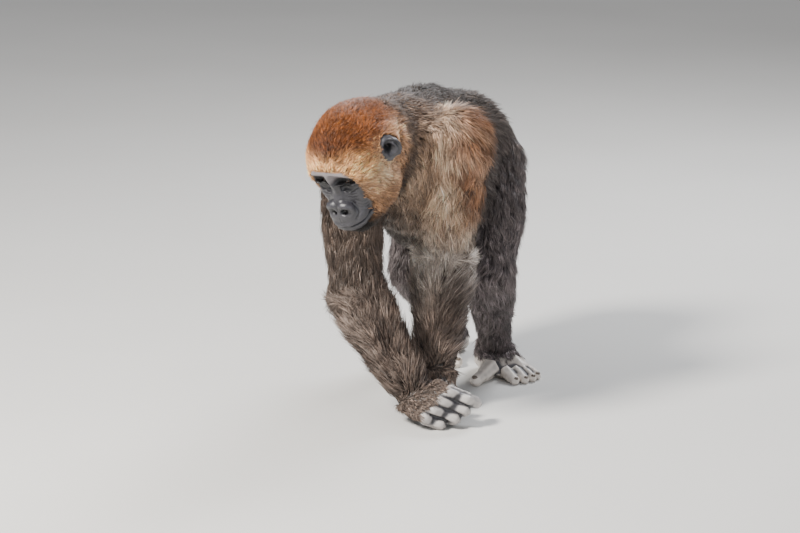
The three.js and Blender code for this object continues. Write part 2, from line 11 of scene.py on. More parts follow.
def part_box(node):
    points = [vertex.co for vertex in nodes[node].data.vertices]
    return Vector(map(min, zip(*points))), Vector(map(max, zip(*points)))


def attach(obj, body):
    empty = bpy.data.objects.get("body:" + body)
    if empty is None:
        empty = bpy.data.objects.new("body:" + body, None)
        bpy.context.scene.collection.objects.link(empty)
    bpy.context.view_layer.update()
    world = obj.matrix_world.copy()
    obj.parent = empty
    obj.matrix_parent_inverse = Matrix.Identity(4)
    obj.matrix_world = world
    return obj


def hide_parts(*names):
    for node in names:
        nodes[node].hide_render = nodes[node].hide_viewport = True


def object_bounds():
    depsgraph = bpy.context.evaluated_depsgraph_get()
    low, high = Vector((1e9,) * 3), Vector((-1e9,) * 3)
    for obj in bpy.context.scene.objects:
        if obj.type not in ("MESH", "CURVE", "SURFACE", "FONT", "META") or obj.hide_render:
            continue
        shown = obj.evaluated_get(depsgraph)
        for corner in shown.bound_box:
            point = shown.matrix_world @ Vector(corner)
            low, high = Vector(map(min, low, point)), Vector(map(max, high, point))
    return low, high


began = time.time()
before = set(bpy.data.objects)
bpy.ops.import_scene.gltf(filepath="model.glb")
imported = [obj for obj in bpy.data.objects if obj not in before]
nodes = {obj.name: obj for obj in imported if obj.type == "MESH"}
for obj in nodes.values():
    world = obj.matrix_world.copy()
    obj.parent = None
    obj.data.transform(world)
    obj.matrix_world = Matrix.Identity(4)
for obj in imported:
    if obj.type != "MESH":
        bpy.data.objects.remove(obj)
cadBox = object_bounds()
sides = (("left", 1), ("right", -1))
mm = 0.001


def report(stage, *facts):
    print(f"{stage}:", *facts, f"({time.time() - began:.0f} s)", flush=True)


# a 0-255 colour as the linear values that the shaders want
def linear(*tint):
    c = np.array(tint, float) / 255
    return np.where(c <= 0.04045, c / 12.92, ((c + 0.055) / 1.055) ** 2.4)


# 0 below low and 1 above high, or the other way round where high is the smaller
def smoothStep(low, high, value):
    t = np.clip((value - low) / (high - low), 0, 1)
    return t * t * (3 - 2 * t)


# 1 at the middle, falling away on both sides
def bell(value, middle, width):
    return np.exp(-((value - middle) / width) ** 2)


def spot(u, v, middle, size):
    return np.exp(-((u - middle[0]) / size[0]) ** 2 - ((v - middle[1]) / size[1]) ** 2)


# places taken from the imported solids
def boxMiddle(name):
    low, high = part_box(name)
    return (low + high) / 2


headPlace = {
    "turn": 14, "nod": 34, "tilt": 4.5,  # degrees, as the head solid is turned
    "eyeBack": 7,  # mm from the face's own plane to the middle of an eye
}


def makeFaceFrame():
    nod = Euler((math.radians(headPlace["nod"]), 0, 0)).to_matrix()
    tilt = Euler((0, math.radians(-headPlace["tilt"]), 0)).to_matrix()
    turn = Euler((0, 0, math.radians(-headPlace["turn"]))).to_matrix()
    rotation = turn @ nod @ tilt
    between = (boxMiddle("eye_left") + boxMiddle("eye_right")) / 2
    origin = between - rotation @ Vector((0, headPlace["eyeBack"] * mm, 0))
    return Matrix.Translation(origin) @ rotation.to_4x4()


faceFrame = makeFaceFrame()
faceTurn = np.array(faceFrame.to_3x3())
faceOrigin = np.array(faceFrame.translation)


# millimetres in the head's own frame: x to its left, y backward, z up
def toFace(points):
    return (np.asarray(points) - faceOrigin) @ faceTurn / mm


def fromFace(points):
    return np.asarray(points, float) * mm @ faceTurn.T + faceOrigin


report("frame")


# mesh helpers
def meshArrays(mesh):
    points = np.empty(len(mesh.vertices) * 3, np.float32)
    mesh.vertices.foreach_get("co", points)
    edges = np.empty(len(mesh.edges) * 2, np.int32)
    mesh.edges.foreach_get("vertices", edges)
    return points.reshape(-1, 3).astype(float), edges.reshape(-1, 2)


def setPoints(mesh, points):
    mesh.vertices.foreach_set("co", np.ascontiguousarray(points, dtype=np.float32).ravel())
    mesh.update()


def pointNormals(mesh):
    normals = np.empty(len(mesh.vertices) * 3, np.float32)
    mesh.vertex_normals.foreach_get("vector", normals)
    return normals.reshape(-1, 3).astype(float)


def unit(vectors):
    return vectors / np.maximum(np.linalg.norm(vectors, axis=1), 1e-12)[:, None]


# the share of each vector that lies along the surface
def alongSurface(vectors, normals):
    return vectors - normals * (vectors * normals).sum(1)[:, None]


# averages a value over each point's neighbours
class Neighbours:

    def __init__(self, count, edges):
        self.a = np.concatenate([edges[:, 0], edges[:, 1]])
        self.b = np.concatenate([edges[:, 1], edges[:, 0]])
        self.count = count
        self.degree = np.maximum(np.bincount(self.a, minlength=count), 1)

    def mean(self, value):
        if value.ndim == 1:
            return np.bincount(self.a, value[self.b], self.count) / self.degree
        columns = [np.bincount(self.a, value[self.b, c], self.count) for c in range(value.shape[1])]
        return np.stack(columns, 1) / self.degree[:, None]

    def smooth(self, value, steps, weight=1.0):
        for _ in range(steps):
            value = value + (self.mean(value) - value) * weight
        return value

    # 1 well inside the named parts and 0 well outside
    def within(self, part, names, steps):
        return self.smooth(np.isin(part, names).astype(float), steps)

    # millimetres that each point stands above the points round it
    def relief(self, points, normals, steps):
        return ((points - self.smooth(points, steps)) * normals).sum(1) / mm

    # smooths without shrinking
    def fair(self, points, steps, weight=1.0):
        for _ in range(steps):
            points = points + (self.mean(points) - points) * 0.6 * weight
            points = points - (self.mean(points) - points) * 0.615 * weight
        return points


def addObject(name, mesh):
    thing = bpy.data.objects.new(name, mesh)
    bpy.context.scene.collection.objects.link(thing)
    return thing


# the mesh that an object's modifiers make; the object itself goes
def settle(thing, name):
    graph = bpy.context.evaluated_depsgraph_get()
    mesh = bpy.data.meshes.new_from_object(thing.evaluated_get(graph))
    mesh.name = name
    bpy.data.objects.remove(thing)
    return mesh


def shadeSmooth(mesh):
    for face in mesh.polygons:
        face.use_smooth = True


# an object made of several solids, each grown along its normals, and of further meshes
def gatherSolids(name, solids, grow, lowest, extra=()):
    whole = bmesh.new()
    for solid in solids:
        part = bmesh.new()
        part.from_mesh(nodes[solid].data)
        bmesh.ops.remove_doubles(part, verts=part.verts, dist=1e-6)
        part.normal_update()
        for point in part.verts:
            point.co += point.normal * grow
            point.co.z = max(point.co.z, lowest)
        spare = bpy.data.meshes.new("spare")
        part.to_mesh(spare)
        part.free()
        whole.from_mesh(spare)
        bpy.data.meshes.remove(spare)
    for spare in extra:
        whole.from_mesh(spare)
        bpy.data.meshes.remove(spare)
    mesh = bpy.data.meshes.new(name)
    whole.to_mesh(mesh)
    whole.free()
    return addObject(name, mesh)


# a mesh's points, the corners of its triangles and their areas
def triangleTable(mesh):
    points, _ = meshArrays(mesh)
    mesh.calc_loop_triangles()
    corners = np.empty(len(mesh.loop_triangles) * 3, np.int32)
    mesh.loop_triangles.foreach_get("vertices", corners)
    corners = corners.reshape(-1, 3)
    a, b, c = (points[corners[:, k]] for k in range(3))
    return points, corners, np.linalg.norm(np.cross(b - a, c - a), axis=1) / 2


# random shares of two sides of a triangle, even over its area
def spread(draw, count):
    u, v = draw.random(count), draw.random(count)
    return np.where(u + v > 1, 1 - u, u), np.where(u + v > 1, 1 - v, v)


def treeOf(places):
    tree = KDTree(len(places))
    for i, place in enumerate(places):
        tree.insert(place, i)
    tree.balance()
    return tree


def nearest(tree, points):
    return np.array([tree.find(point)[1] for point in points])


# a solid's points, their middle and its own axes, the longest first
def solidAxes(name):
    points, _ = meshArrays(nodes[name].data)
    centre = points.mean(0)
    _, _, turn = np.linalg.svd(points - centre, full_matrices=False)
    return points, centre, turn


def blend(a, b, t):
    return a + (b - a) * np.asarray(t)[:, None]


# material helpers
def newMaterial(name):
    material = bpy.data.materials.new(name)
    material.use_nodes = True
    tree = material.node_tree
    return material, tree.nodes, tree.links, tree.nodes["Principled BSDF"]


def setInputs(node, values):
    for socket, value in values.items():
        node.inputs[socket].default_value = value


def addNode(tree, kind, values=None, **settings):
    node = tree.new(kind)
    for setting, value in settings.items():
        setattr(node, setting, value)
    setInputs(node, values or {})
    return node


def wire(links, *wires):
    for source, output, target, socket in wires:
        links.new(source.outputs[output], target.inputs[socket])


# base colour from a tone stored at the points, made lighter and darker by a fine grain
def toneBase(tree, links, shader, stored, grain, low, high):
    coords = tree.new("ShaderNodeTexCoord")
    tone = addNode(tree, "ShaderNodeAttribute", attribute_name=stored)
    noise = addNode(tree, "ShaderNodeTexNoise", grain)
    shade = addNode(tree, "ShaderNodeMapRange", {"To Min": low, "To Max": high})
    mix = addNode(tree, "ShaderNodeVectorMath", operation="SCALE")
    wire(links, (coords, "Object", noise, "Vector"), (noise, "Fac", shade, "Value"), (tone, "Color", mix, 0),
         (shade, "Result", mix, "Scale"), (mix, "Vector", shader, "Base Color"))
    return coords


# base colour that a noise mixes from two colours
def mottledBase(tree, links, shader, scale, dark, light):
    coords = tree.new("ShaderNodeTexCoord")
    noise = addNode(tree, "ShaderNodeTexNoise", {"Scale": scale})
    ramp = tree.new("ShaderNodeValToRGB")
    ramp.color_ramp.elements[0].color = (*dark, 1)
    ramp.color_ramp.elements[1].color = (*light, 1)
    wire(links, (coords, "Object", noise, "Vector"), (noise, "Fac", ramp, "Fac"),
         (ramp, "Color", shader, "Base Color"))


# flesh: one closed skin from copies of the solids
skinLook = {
    "overlap": 0.45 * mm,  # each solid grows by this, so that the cuts between them close
    "voxel": 2.8 * mm,
    "bodyShare": 0.07,  # of the faces kept under the coat
    "lidRadius": 14.2,  # mm
    "sampleGap": 5 * mm,  # between the points that tell which solid a place belongs to
    # rounds of smoothing: everywhere, on fingers and toes, and under the coat
    "fair": 9, "tipFair": 14, "bodySmooth": 90,
    "crisp": 0.4, "crispMost": 6 * mm,  # share of the fingers' relief that is raised again, and its limit
}
coatDepth = {  # mm from the tips of the coat down to the skin
    "head": 9, "neck": 12, "chest": 12, "belly": 12, "pelvis": 12, "upper_arm": 12, "forearm": 11,
    "thigh": 11, "shank": 9, "hand": 0, "thumb": 0, "foot": 0, "great_toe": 0, "ear": 0,
}
trunkParts = ["head", "neck", "chest", "belly", "pelvis"]
handAndFoot = ["hand", "thumb", "foot", "great_toe"]
sideParts = [part for part in coatDepth if part not in trunkParts]
fleshParts = trunkParts + [f"{part}_{side}" for side, _ in sides for part in sideParts]


def plainName(node):
    return node.replace("_left", "").replace("_right", "")


plainParts = np.array([plainName(name) for name in fleshParts])


# a chain of balls close together along a line in the head's frame
def ropeBalls(points, radii):
    points = np.array(points, float)
    balls = []
    for a, b, ra, rb in zip(points[:-1], points[1:], radii[:-1], radii[1:]):
        steps = max(2, int(np.linalg.norm(b - a) / 2.5))
        balls += [(a + (b - a) * i / steps, ra + (rb - ra) * i / steps) for i in range(steps)]
    return balls


def ballMesh(balls):
    bm = bmesh.new()
    bmesh.ops.create_uvsphere(bm, u_segments=20, v_segments=12, radius=1)
    sphere = np.array([point.co for point in bm.verts])
    faces = [[point.index for point in face.verts] for face in bm.faces]
    bm.free()
    points = np.concatenate([fromFace(sphere * radius + centre) for centre, radius in balls])
    table = [[k + i * len(sphere) for k in face] for i, _ in enumerate(balls) for face in faces]
    mesh = bpy.data.meshes.new("balls")
    mesh.from_pydata(points.tolist(), [], table)
    return mesh


def bothSides(points):
    return [[(x * s, y, z) for x, y, z in points] for s in (1, -1)]


faceForms = {  # full forms of the face that the solids only hint at: (line, radii) in mm
    "wing": ([(5, -34, -46), (14, -37, -42), (24, -34, -45), (30, -29, -54), (30, -28, -65), (23, -35, -73)],
             [6, 7.5, 8, 8, 7.5, 5]),
    "septum": ([(0, -24, -36), (0, -35, -48), (0, -40, -60), (0, -42, -70)], [8, 7, 5, 5]),
    "upper_lip": ([(0, -50, -93), (20, -46, -92), (38, -32, -90), (50, -14, -88)], [6, 6, 5, 4]),
    "lower_lip": ([(0, -46, -107), (20, -42, -106), (38, -28, -102), (50, -10, -96)], [6.5, 6.5, 5.5, 4]),
    "brow": ([(0, -10, 17), (22, -13, 19), (44, -10, 19), (62, 2, 15)], [11, 12, 12, 10]),
}


def faceBalls():
    balls = [(toFace(np.array(boxMiddle(f"eye_{side}"))), skinLook["lidRadius"]) for side, _ in sides]
    for line, radii in faceForms.values():
        for mirrored in bothSides(line):
            balls += ropeBalls(mirrored, radii)
    return ballMesh(balls)


def gatherFlesh():
    thing = gatherSolids("flesh", fleshParts, skinLook["overlap"], -skinLook["overlap"], [faceBalls()])
    remesh = thing.modifiers.new("remesh", "REMESH")
    remesh.mode = "VOXEL"
    remesh.voxel_size = skinLook["voxel"]
    return settle(thing, "skin")


fleshMesh = gatherFlesh()
report("flesh", len(fleshMesh.vertices), "points")


# points all over the solids, to tell which solid a place belongs to
def sampleSolids():
    places, owners = [], []
    for index, name in enumerate(fleshParts):
        points, corners, areas = triangleTable(nodes[name].data)
        draw = np.random.default_rng(11 + index)
        wanted = int(areas.sum() / skinLook["sampleGap"] ** 2) + 12
        pick = draw.choice(len(areas), wanted, p=areas / areas.sum())
        u, v = spread(draw, wanted)
        a, b, c = (points[corners[pick, k]] for k in range(3))
        places.append(a + (b - a) * u[:, None] + (c - a) * v[:, None])
        owners.append(np.full(wanted, index))
    return treeOf(np.concatenate(places)), np.concatenate(owners)


solidTree, solidOwner = sampleSolids()


def ownersOf(points):
    return solidOwner[nearest(solidTree, points)]


def earDistance(points):
    ears = [np.array(boxMiddle(f"ear_{side}")) for side, _ in sides]
    return np.min([np.linalg.norm(points - ear, axis=1) for ear in ears], axis=0) / mm


earLook = {"high": 33, "wide": 27.5, "opening": (5, 3)}  # mm from the middle to the rim and to the opening


# millimetres from an ear's middle: toward the face, up the ear, and out of its plane
def earPlane(side, sign, points):
    _, _, turn = solidAxes(f"ear_{side}")
    out = turn[2] if turn[2] @ faceTurn[:, 0] * sign > 0 else -turn[2]
    top = faceTurn[:, 2] - out * (faceTurn[:, 2] @ out)
    top /= np.linalg.norm(top)
    front = np.cross(top, out)
    front = front if front @ faceTurn[:, 1] < 0 else -front
    away = (points - np.array(boxMiddle(f"ear_{side}"))) / mm
    return away @ front, away @ top, away @ out, out


# 1 on the rim of the nearer ear and less inside it
def earRound(points):
    far = 9.0  # stands for anywhere away from the ears
    best = np.full(len(points), far)
    for side, sign in sides:
        u, v, w, _ = earPlane(side, sign, points)
        inPlane = (w > -9) & (w < 40)
        best = np.minimum(best, np.where(inPlane, np.hypot(u / earLook["wide"], v / earLook["high"]), far))
    return best


faceEdge = {  # mm: half the width of the naked skin at each height, and how far back it goes
    "heights": [-128, -120, -110, -96, -60, -20, 4, 22, 36, 44, 50],
    "halfWidths": [-20, 22, 44, 56, 61, 61, 61, 58, 52, 40, -20],
    "back": 26,
}


# 1 on the naked skin of the face and 0 under hair, from places in the head's frame
def bareFace(local, soft=4):
    x, y, z = np.abs(local[:, 0]), local[:, 1], local[:, 2]
    # two small waves keep the edge from being a clean line
    x = x + 1.1 * np.sin(z * 0.17 + 0.05 * local[:, 0]) + 0.9 * np.sin(z * 0.53 + y * 0.3)
    halfWidth, back = np.interp(z, faceEdge["heights"], faceEdge["halfWidths"]), faceEdge["back"]
    return smoothStep(soft, -soft, x - halfWidth) * smoothStep(back + soft, back - soft, y)


# a smooth random field of about unit size, with no grid behind it
def ripple(points, wavelength, seed):
    draw = np.random.default_rng(seed)
    total = np.zeros(len(points))
    waves = 14
    for _ in range(waves):
        way = draw.normal(size=3)
        way *= 2 * math.pi / (wavelength * mm * draw.uniform(0.7, 1.5)) / np.linalg.norm(way)
        total += np.sin(points @ way + draw.uniform(0, 2 * math.pi))
    return total / math.sqrt(waves / 2)


# fairs the skin, keeps the fingers crisp and sinks it by the depth of the coat
def shapeFlesh(mesh):
    points, edges = meshArrays(mesh)
    near = Neighbours(len(points), edges)
    owner = ownersOf(points)
    part = plainParts[owner]
    local = toFace(points)
    bare = bareFace(local) * (part == "head")
    depths = np.array([coatDepth[name] for name in plainParts], float)[owner]
    depths = depths * (1 - bare) * smoothStep(20, 38, earDistance(points))
    depths = near.smooth(depths, 14)
    firm = ((bare > 0.02) | np.isin(part, ["ear", *handAndFoot])).astype(float)
    loose = (1 - np.clip(near.smooth(firm, 8) * 1.15, 0, 1))[:, None]
    limbTip = np.clip(near.within(part, handAndFoot, 6), 0, 1)[:, None]
    points = near.fair(points, skinLook["fair"])
    most = skinLook["crispMost"]
    points = points + np.clip(points - near.smooth(points, 40), -most, most) * skinLook["crisp"] * limbTip
    points = near.fair(points, skinLook["tipFair"], limbTip)
    points = near.fair(points, 3)
    points = near.smooth(points, skinLook["bodySmooth"], loose ** 2 * 0.9)
    setPoints(mesh, points)
    normals = unit(near.smooth(pointNormals(mesh), 8))
    sink = np.clip(depths[:, None] - 2.5 * loose, 0, None) * mm
    setPoints(mesh, points - normals * sink)


shapeFlesh(fleshMesh)
report("shaped")


# fewer faces where the coat hides them, and more on the face and ears
def thinBody(mesh):
    points, _ = meshArrays(mesh)
    part = plainParts[ownersOf(points)]
    hidden = ~((bareFace(toFace(points)) > 0.01) & (part == "head") | np.isin(part, ["ear", *handAndFoot]))
    thing = addObject("body", mesh)
    group = thing.vertex_groups.new(name="hidden")
    group.add(np.flatnonzero(hidden).tolist(), 1.0, "REPLACE")
    thin = thing.modifiers.new("thin", "DECIMATE")
    thin.vertex_group = "hidden"
    thin.ratio = 1 - hidden.mean() * (1 - skinLook["bodyShare"])
    result = settle(thing, "skin")
    bm = bmesh.new()
    bm.from_mesh(result)
    centres = np.array([face.calc_center_median() for face in bm.faces])
    local = toFace(centres)
    onFace = (bareFace(local) > 0.01) & (local[:, 1] < 34) & (local[:, 2] > -150)
    fine = onFace | (earDistance(centres) < 34)
    bm.faces.ensure_lookup_table()
    edges = {edge for face, wanted in zip(bm.faces, fine) if wanted for edge in face.edges}
    bmesh.ops.subdivide_edges(bm, edges=list(edges), cuts=1, use_grid_fill=True)
    bmesh.ops.triangulate(bm, faces=[face for face in bm.faces if len(face.verts) > 4])
    bm.to_mesh(result)
    bm.free()
    return result


skinMesh = thinBody(fleshMesh)
report("thinned", len(skinMesh.vertices), "points")


# the face, ears and hands are cut finer, by named strokes in the head's frame
def eyeCentre(sign):
    return toFace(np.array(boxMiddle("eye_left" if sign > 0 else "eye_right")))


eyeLook = {
    "radius": 12.5, "cornea": 0.9,  # mm
    "gazeUp": 24,  # degrees above the face's own forward line, as the head hangs
    "openHalf": 56, "lidUp": 17, "lidDown": 16,  # degrees of the eyeball that the lids leave open
}
# (line, half width, depth) in mm; a negative depth raises a fold
strokes = {
    "mouth": ([(0, -55, -100), (16, -53, -100), (31, -43, -98), (46, -25, -94), (58, 3, -88)], 2.0, 5.0),
    "mouth_end": ([(55, -4, -91), (61, 6, -84)], 3.0, 1.5),
    "wing": ([(6, -38, -45), (14, -42, -41), (24, -38, -44), (31, -31, -53), (31, -30, -64), (25, -36, -73)],
             5.0, -2.6),
    "nasolabial": ([(33, -20, -50), (39, -19, -62), (40, -22, -74), (33, -32, -82)], 3.0, 2.6),
    "wing_top": ([(9, -26, -34), (20, -25, -36), (31, -21, -42), (36, -18, -50)], 2.8, 1.8),
    "nose_middle": ([(0, -30, -36), (0, -38, -48), (0, -40, -56)], 3.2, 2.2),
    "under_eye_1": ([(13, -12, -6), (21, -15, -15), (33, -14, -20), (46, -7, -18), (57, 3, -11)], 1.5, 1.5),
    "under_eye_2": ([(13, -15, -14), (23, -18, -23), (36, -16, -28), (49, -8, -26)], 1.5, 1.2),
    "under_eye_3": ([(16, -18, -22), (26, -20, -31), (38, -18, -36), (50, -8, -34)], 1.3, 0.9),
    "under_eye_fold": ([(13, -14, -10), (22, -17, -19), (35, -15, -24), (48, -8, -22)], 1.8, -0.9),
    "brow_fold": ([(14, -10, 8), (27, -12, 12), (42, -10, 11), (55, -2, 5)], 2.0, 1.2),
    "cheek_1": ([(43, -17, -44), (50, -10, -50), (58, 2, -54)], 1.2, 0.9),
    "cheek_2": ([(43, -18, -52), (51, -10, -59), (59, 2, -63)], 1.2, 0.9),
    "cheek_3": ([(44, -18, -61), (52, -10, -67), (59, 2, -71)], 1.2, 0.9),
    "cheek_4": ([(45, -18, -70), (53, -9, -76), (60, 3, -79)], 1.2, 0.8),
    "lip_groove": ([(0, -44, -74), (0, -50, -86)], 2.2, 1.0),
    "under_lip": ([(0, -50, -118), (20, -44, -116), (38, -30, -110)], 3.5, 1.6),
    "bridge_1": ([(-12, -14, 0), (0, -16, 2), (12, -14, 0)], 1.2, 0.8),
    "bridge_2": ([(-11, -16, -8), (0, -19, -7), (11, -16, -8)], 1.2, 0.7),
}
nostril = {"place": (14, -42, -60), "radii": (8.6, 12, 6.2), "depth": 11}


# points close together along a line, laid on the surface
def snapLine(tree, line, step=1.5):
    line = np.array(line, float)
    places = []
    for a, b in zip(line[:-1], line[1:]):
        count = max(1, int(np.linalg.norm(b - a) / step))
        places += [a + (b - a) * i / count for i in range(count)]
    places = np.array(places + [line[-1]])
    for _ in range(3):  # a soft curve through the corners
        places[1:-1] = (places[:-2] + places[1:-1] * 2 + places[2:]) / 4
    return np.array([tree.find_nearest(Vector(place))[0] for place in places])


# distance from each point to a chain of segments
def lineDistance(points, line):
    best = np.full(len(points), np.inf)
    for a, b in zip(line[:-1], line[1:]):
        along = b - a
        t = np.clip((points - a) @ along / max(along @ along, 1e-9), 0, 1)
        best = np.minimum(best, np.linalg.norm(points - a - t[:, None] * along, axis=1))
    return best


# draws the brow back over each eye, so that the eye shows under it
def clearBrow(local):
    for sign in (1, -1):
        away = local - eyeCentre(sign)
        z = away[:, 2]
        limit = np.where(z < 13, -10.5 - 0.4 * np.clip(8 - z, 0, 8), -10.5 - 0.8 * (z - 13))
        share = smoothStep(34, 20, np.abs(away[:, 0] * sign - 2)) * smoothStep(2, 8, z)
        share *= smoothStep(52, 34, z)
        back = np.clip(limit - away[:, 1], 0, None) * share
        local[:, 1] += np.where(local[:, 1] < 10, back, 0)
    return local


# wraps the skin round each eyeball and opens it between the lids
def openLids(local, normals):
    half = eyeLook["openHalf"]
    for sign in (1, -1):
        centre = eyeCentre(sign)
        away = local - centre
        distance = np.linalg.norm(away, axis=1)
        direction = away / distance[:, None]
        across = np.degrees(np.arctan2(direction[:, 0] * sign, -direction[:, 1]))
        rise = np.degrees(np.arcsin(np.clip(direction[:, 2], -1, 1)))
        facing = (direction * normals).sum(1) > -0.2
        move = facing & (distance < 24) & (direction[:, 1] < 0.1)
        t = np.clip(across / half, -1, 1)  # -1 at the inner corner, 1 at the outer
        middle = eyeLook["gazeUp"] - 4 + 4 * t  # the outer corner sits a little higher
        upper = middle + eyeLook["lidUp"] * np.sqrt(np.clip(1 - t * t, 0, 1))
        lower = middle - eyeLook["lidDown"] * np.clip(1 - np.abs(t) ** 2.2, 0, 1)
        inside = np.minimum(upper - rise, rise - lower)
        beyond = np.hypot(np.maximum(np.abs(across) - half, 0), rise - middle)
        inside = np.where(np.abs(across) >= half, -beyond, inside)
        # points beside the edge move onto it, so that the lid ends in a clean line
        onEdge = (np.abs(inside) < 3.4) & (np.abs(t) < 0.94)
        newRise = np.where(onEdge, np.where(upper - rise < rise - lower, upper, lower), rise)
        angle, lift = np.radians(across), np.radians(newRise)
        level = np.cos(lift)
        aimed = np.stack([np.sin(angle) * level * sign, -np.cos(angle) * level, np.sin(lift)], 1)
        direction = np.where(onEdge[:, None], aimed, direction)
        shell = skinLook["lidRadius"] + 0.8 * bell(inside, -5, 5)
        hug = smoothStep(24, 16, distance) * smoothStep(-40, -16, inside)
        target = distance + (shell - distance) * hug
        target = np.where(inside > 0, eyeLook["radius"] - 1.8, target)
        target = np.where(onEdge, eyeLook["radius"] + 0.8, target)
        local[move] = (centre + direction * target[:, None])[move]
    return local


# rim, folds and opening of each ear, as rises in mm over its plane
def sculptEars(mesh):
    points, _ = meshArrays(mesh)
    normals = pointNormals(mesh)
    for side, sign in sides:
        u, v, w, out = earPlane(side, sign, points)
        near = (np.hypot(u, v) < 40) & (np.abs(w) < 30) & (normals @ out > -0.1)
        r = np.hypot(u / earLook["wide"], v / earLook["high"])
        u, v = u / earLook["wide"] * 24, v / earLook["high"] * 29  # the folds are drawn on an ear of 24 by 29
        angle = np.degrees(np.arctan2(v, u)) % 360  # 0 forward, 90 up, 180 back
        rim = smoothStep(-40, 20, np.where(angle > 290, angle - 360, angle)) * smoothStep(285, 245, angle)
        inner = smoothStep(95, 130, angle) * smoothStep(250, 215, angle)
        lowInFront = np.clip(np.cos(np.radians(angle - 35)), 0, 1)
        rise = (4.5 - 9 * lowInFront) * smoothStep(1.15, 0.9, r)
        rise += 4.6 * rim * bell(r, 0.84, 0.14)  # helix
        groove = smoothStep(25, 60, angle) * smoothStep(215, 160, angle)
        rise -= 4.2 * groove * bell(r, 0.56, 0.13)
        rise += 2.6 * inner * bell(r, 0.42, 0.14)  # inner fold
        rise -= 11 * spot(u, v, earLook["opening"], (7.5, 7.5))
        rise += 4.5 * spot(u, v, (14, -4), (4.5, 6))  # the flap in front of it
        rise += 3.6 * spot(u, v, (-2, -11), (6, 4.5))  # the one below it
        points[near] += (out * rise[:, None] * mm)[near]
    setPoints(mesh, points)


# strokes, nostrils and lids
def sculptFace(mesh):
    points, edges = meshArrays(mesh)
    near = Neighbours(len(points), edges)
    local = toFace(points)
    low, high = (-90, -80, -160), (90, 60, 50)  # the part of the head that the strokes reach
    ahead = np.flatnonzero(((local > low) & (local < high)).all(1))
    local = clearBrow(local)
    local = np.where(bareFace(local, 12)[:, None] > 0.01, near.fair(local, 6), local)
    faces = [list(face.vertices) for face in mesh.polygons]
    setPoints(mesh, fromFace(local))
    tree = BVHTree.FromPolygons([Vector(p) for p in local], faces)
    normals = pointNormals(mesh) @ faceTurn
    smoothNormals = unit(near.smooth(normals, 3))
    shift = np.zeros(len(ahead))
    here = local[ahead]
    for line, width, depth in strokes.values():
        mirrored = line[-1][0] > 0 and line[0][0] >= 0  # a line off the middle is cut on both sides
        for laid in bothSides(line)[:1 + mirrored]:
            shift -= depth * bell(lineDistance(here, snapLine(tree, laid)), 0, width)
    for place in bothSides([nostril["place"]]):
        away = (here - np.array(place[0])) / np.array(nostril["radii"])
        shift -= nostril["depth"] * np.exp(-(np.linalg.norm(away, axis=1) ** 4))
    local[ahead] = here + smoothNormals[ahead] * shift[:, None]
    setPoints(mesh, fromFace(local))
    setPoints(mesh, fromFace(openLids(local, pointNormals(mesh) @ faceTurn)))


# the backs of the fingers, as they stand on the floor: a pad at each knuckle and at the joint beyond it
fingerLook = {  # knuckles: the middle of their row as shares of the hand's box; then two directions in space
    "left": {"knuckles": (0.51, 0.43, 0.52), "across": (0.97, 0.21, 0), "forward": (0.12, -0.72, -0.68)},
    "right": {"knuckles": (0.56, 0.25, 0.56), "across": (-0.52, -0.42, -0.74),
              "forward": (0.85, 0.34, -0.38)},
    "pitch": 27, "bones": (50, 58, 55, 44), "rise": (0, 3, 1, -5),  # mm, from the index to the little finger
    "pad": 4.2, "valley": 3.8, "crease": 2.2,  # mm up or down
}


# millimetres from the middle knuckle: along the row, along the fingers, and out of the back of the hand
def handPlane(side, sign, points):
    look = fingerLook[side]
    low, high = (np.array(corner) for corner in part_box(f"hand_{side}"))
    across, forward = unit(np.array([look["across"], look["forward"]], float))
    back = unit(np.cross(across, forward)[None])[0] * -sign
    away = (points - low - (high - low) * look["knuckles"]) / mm
    # the row of knuckles runs aslant of the fingers, so the three shares come from the inverse
    return (away @ np.linalg.inv(np.array([across, forward, back]))).T


# how far each finger's back stands up or sinks, how much of it is pad and how much is valley
def fingerForms(side, sign, points):
    right, ahead, lift = handPlane(side, sign, points)
    bulge, pad, valley = np.zeros(len(points)), np.zeros(len(points)), np.zeros(len(points))
    onBack = smoothStep(1, 8, lift) * (np.abs(lift) < 45)
    for i, (bone, rise) in enumerate(zip(fingerLook["bones"], fingerLook["rise"])):
        aside = right - (i - 1.5) * fingerLook["pitch"]
        t = (ahead - rise) / bone
        over = np.exp(-(aside / 11) ** 4) * onBack
        rounds = bell(t, 0.06, 0.25) + bell(t, 0.98, 0.24)
        dip = bell(t, 0.52, 0.14)
        beside = bell(np.abs(aside), fingerLook["pitch"] / 2, 2.6)
        between = beside * onBack * smoothStep(-0.3, 0, t) * smoothStep(1.3, 1.05, t)
        bulge += (fingerLook["pad"] * rounds - fingerLook["valley"] * dip) * over
        bulge -= fingerLook["crease"] * between
        pad = np.maximum(pad, rounds * over)
        valley = np.maximum(valley, np.maximum(dip * over, between * 0.5))
    return bulge, pad, valley


def sculptHands(mesh):
    points, edges = meshArrays(mesh)
    near = Neighbours(len(points), edges)
    normals = unit(near.smooth(pointNormals(mesh), 3))
    part = plainParts[ownersOf(points)] == "hand"
    for side, sign in sides:
        bulge, _, _ = fingerForms(side, sign, points)
        points += normals * (bulge * part * mm)[:, None]
    points = near.fair(points, 3, near.smooth(part * 1.0, 2)[:, None])
    setPoints(mesh, points)


sculptFace(skinMesh)
sculptEars(skinMesh)
sculptHands(skinMesh)


def standOnFloor(mesh):
    points, _ = meshArrays(mesh)
    points[:, 2] = np.maximum(points[:, 2], 0)
    setPoints(mesh, points)


standOnFloor(skinMesh)
report("face")

skin = addObject("skin", skinMesh)
shadeSmooth(skinMesh)


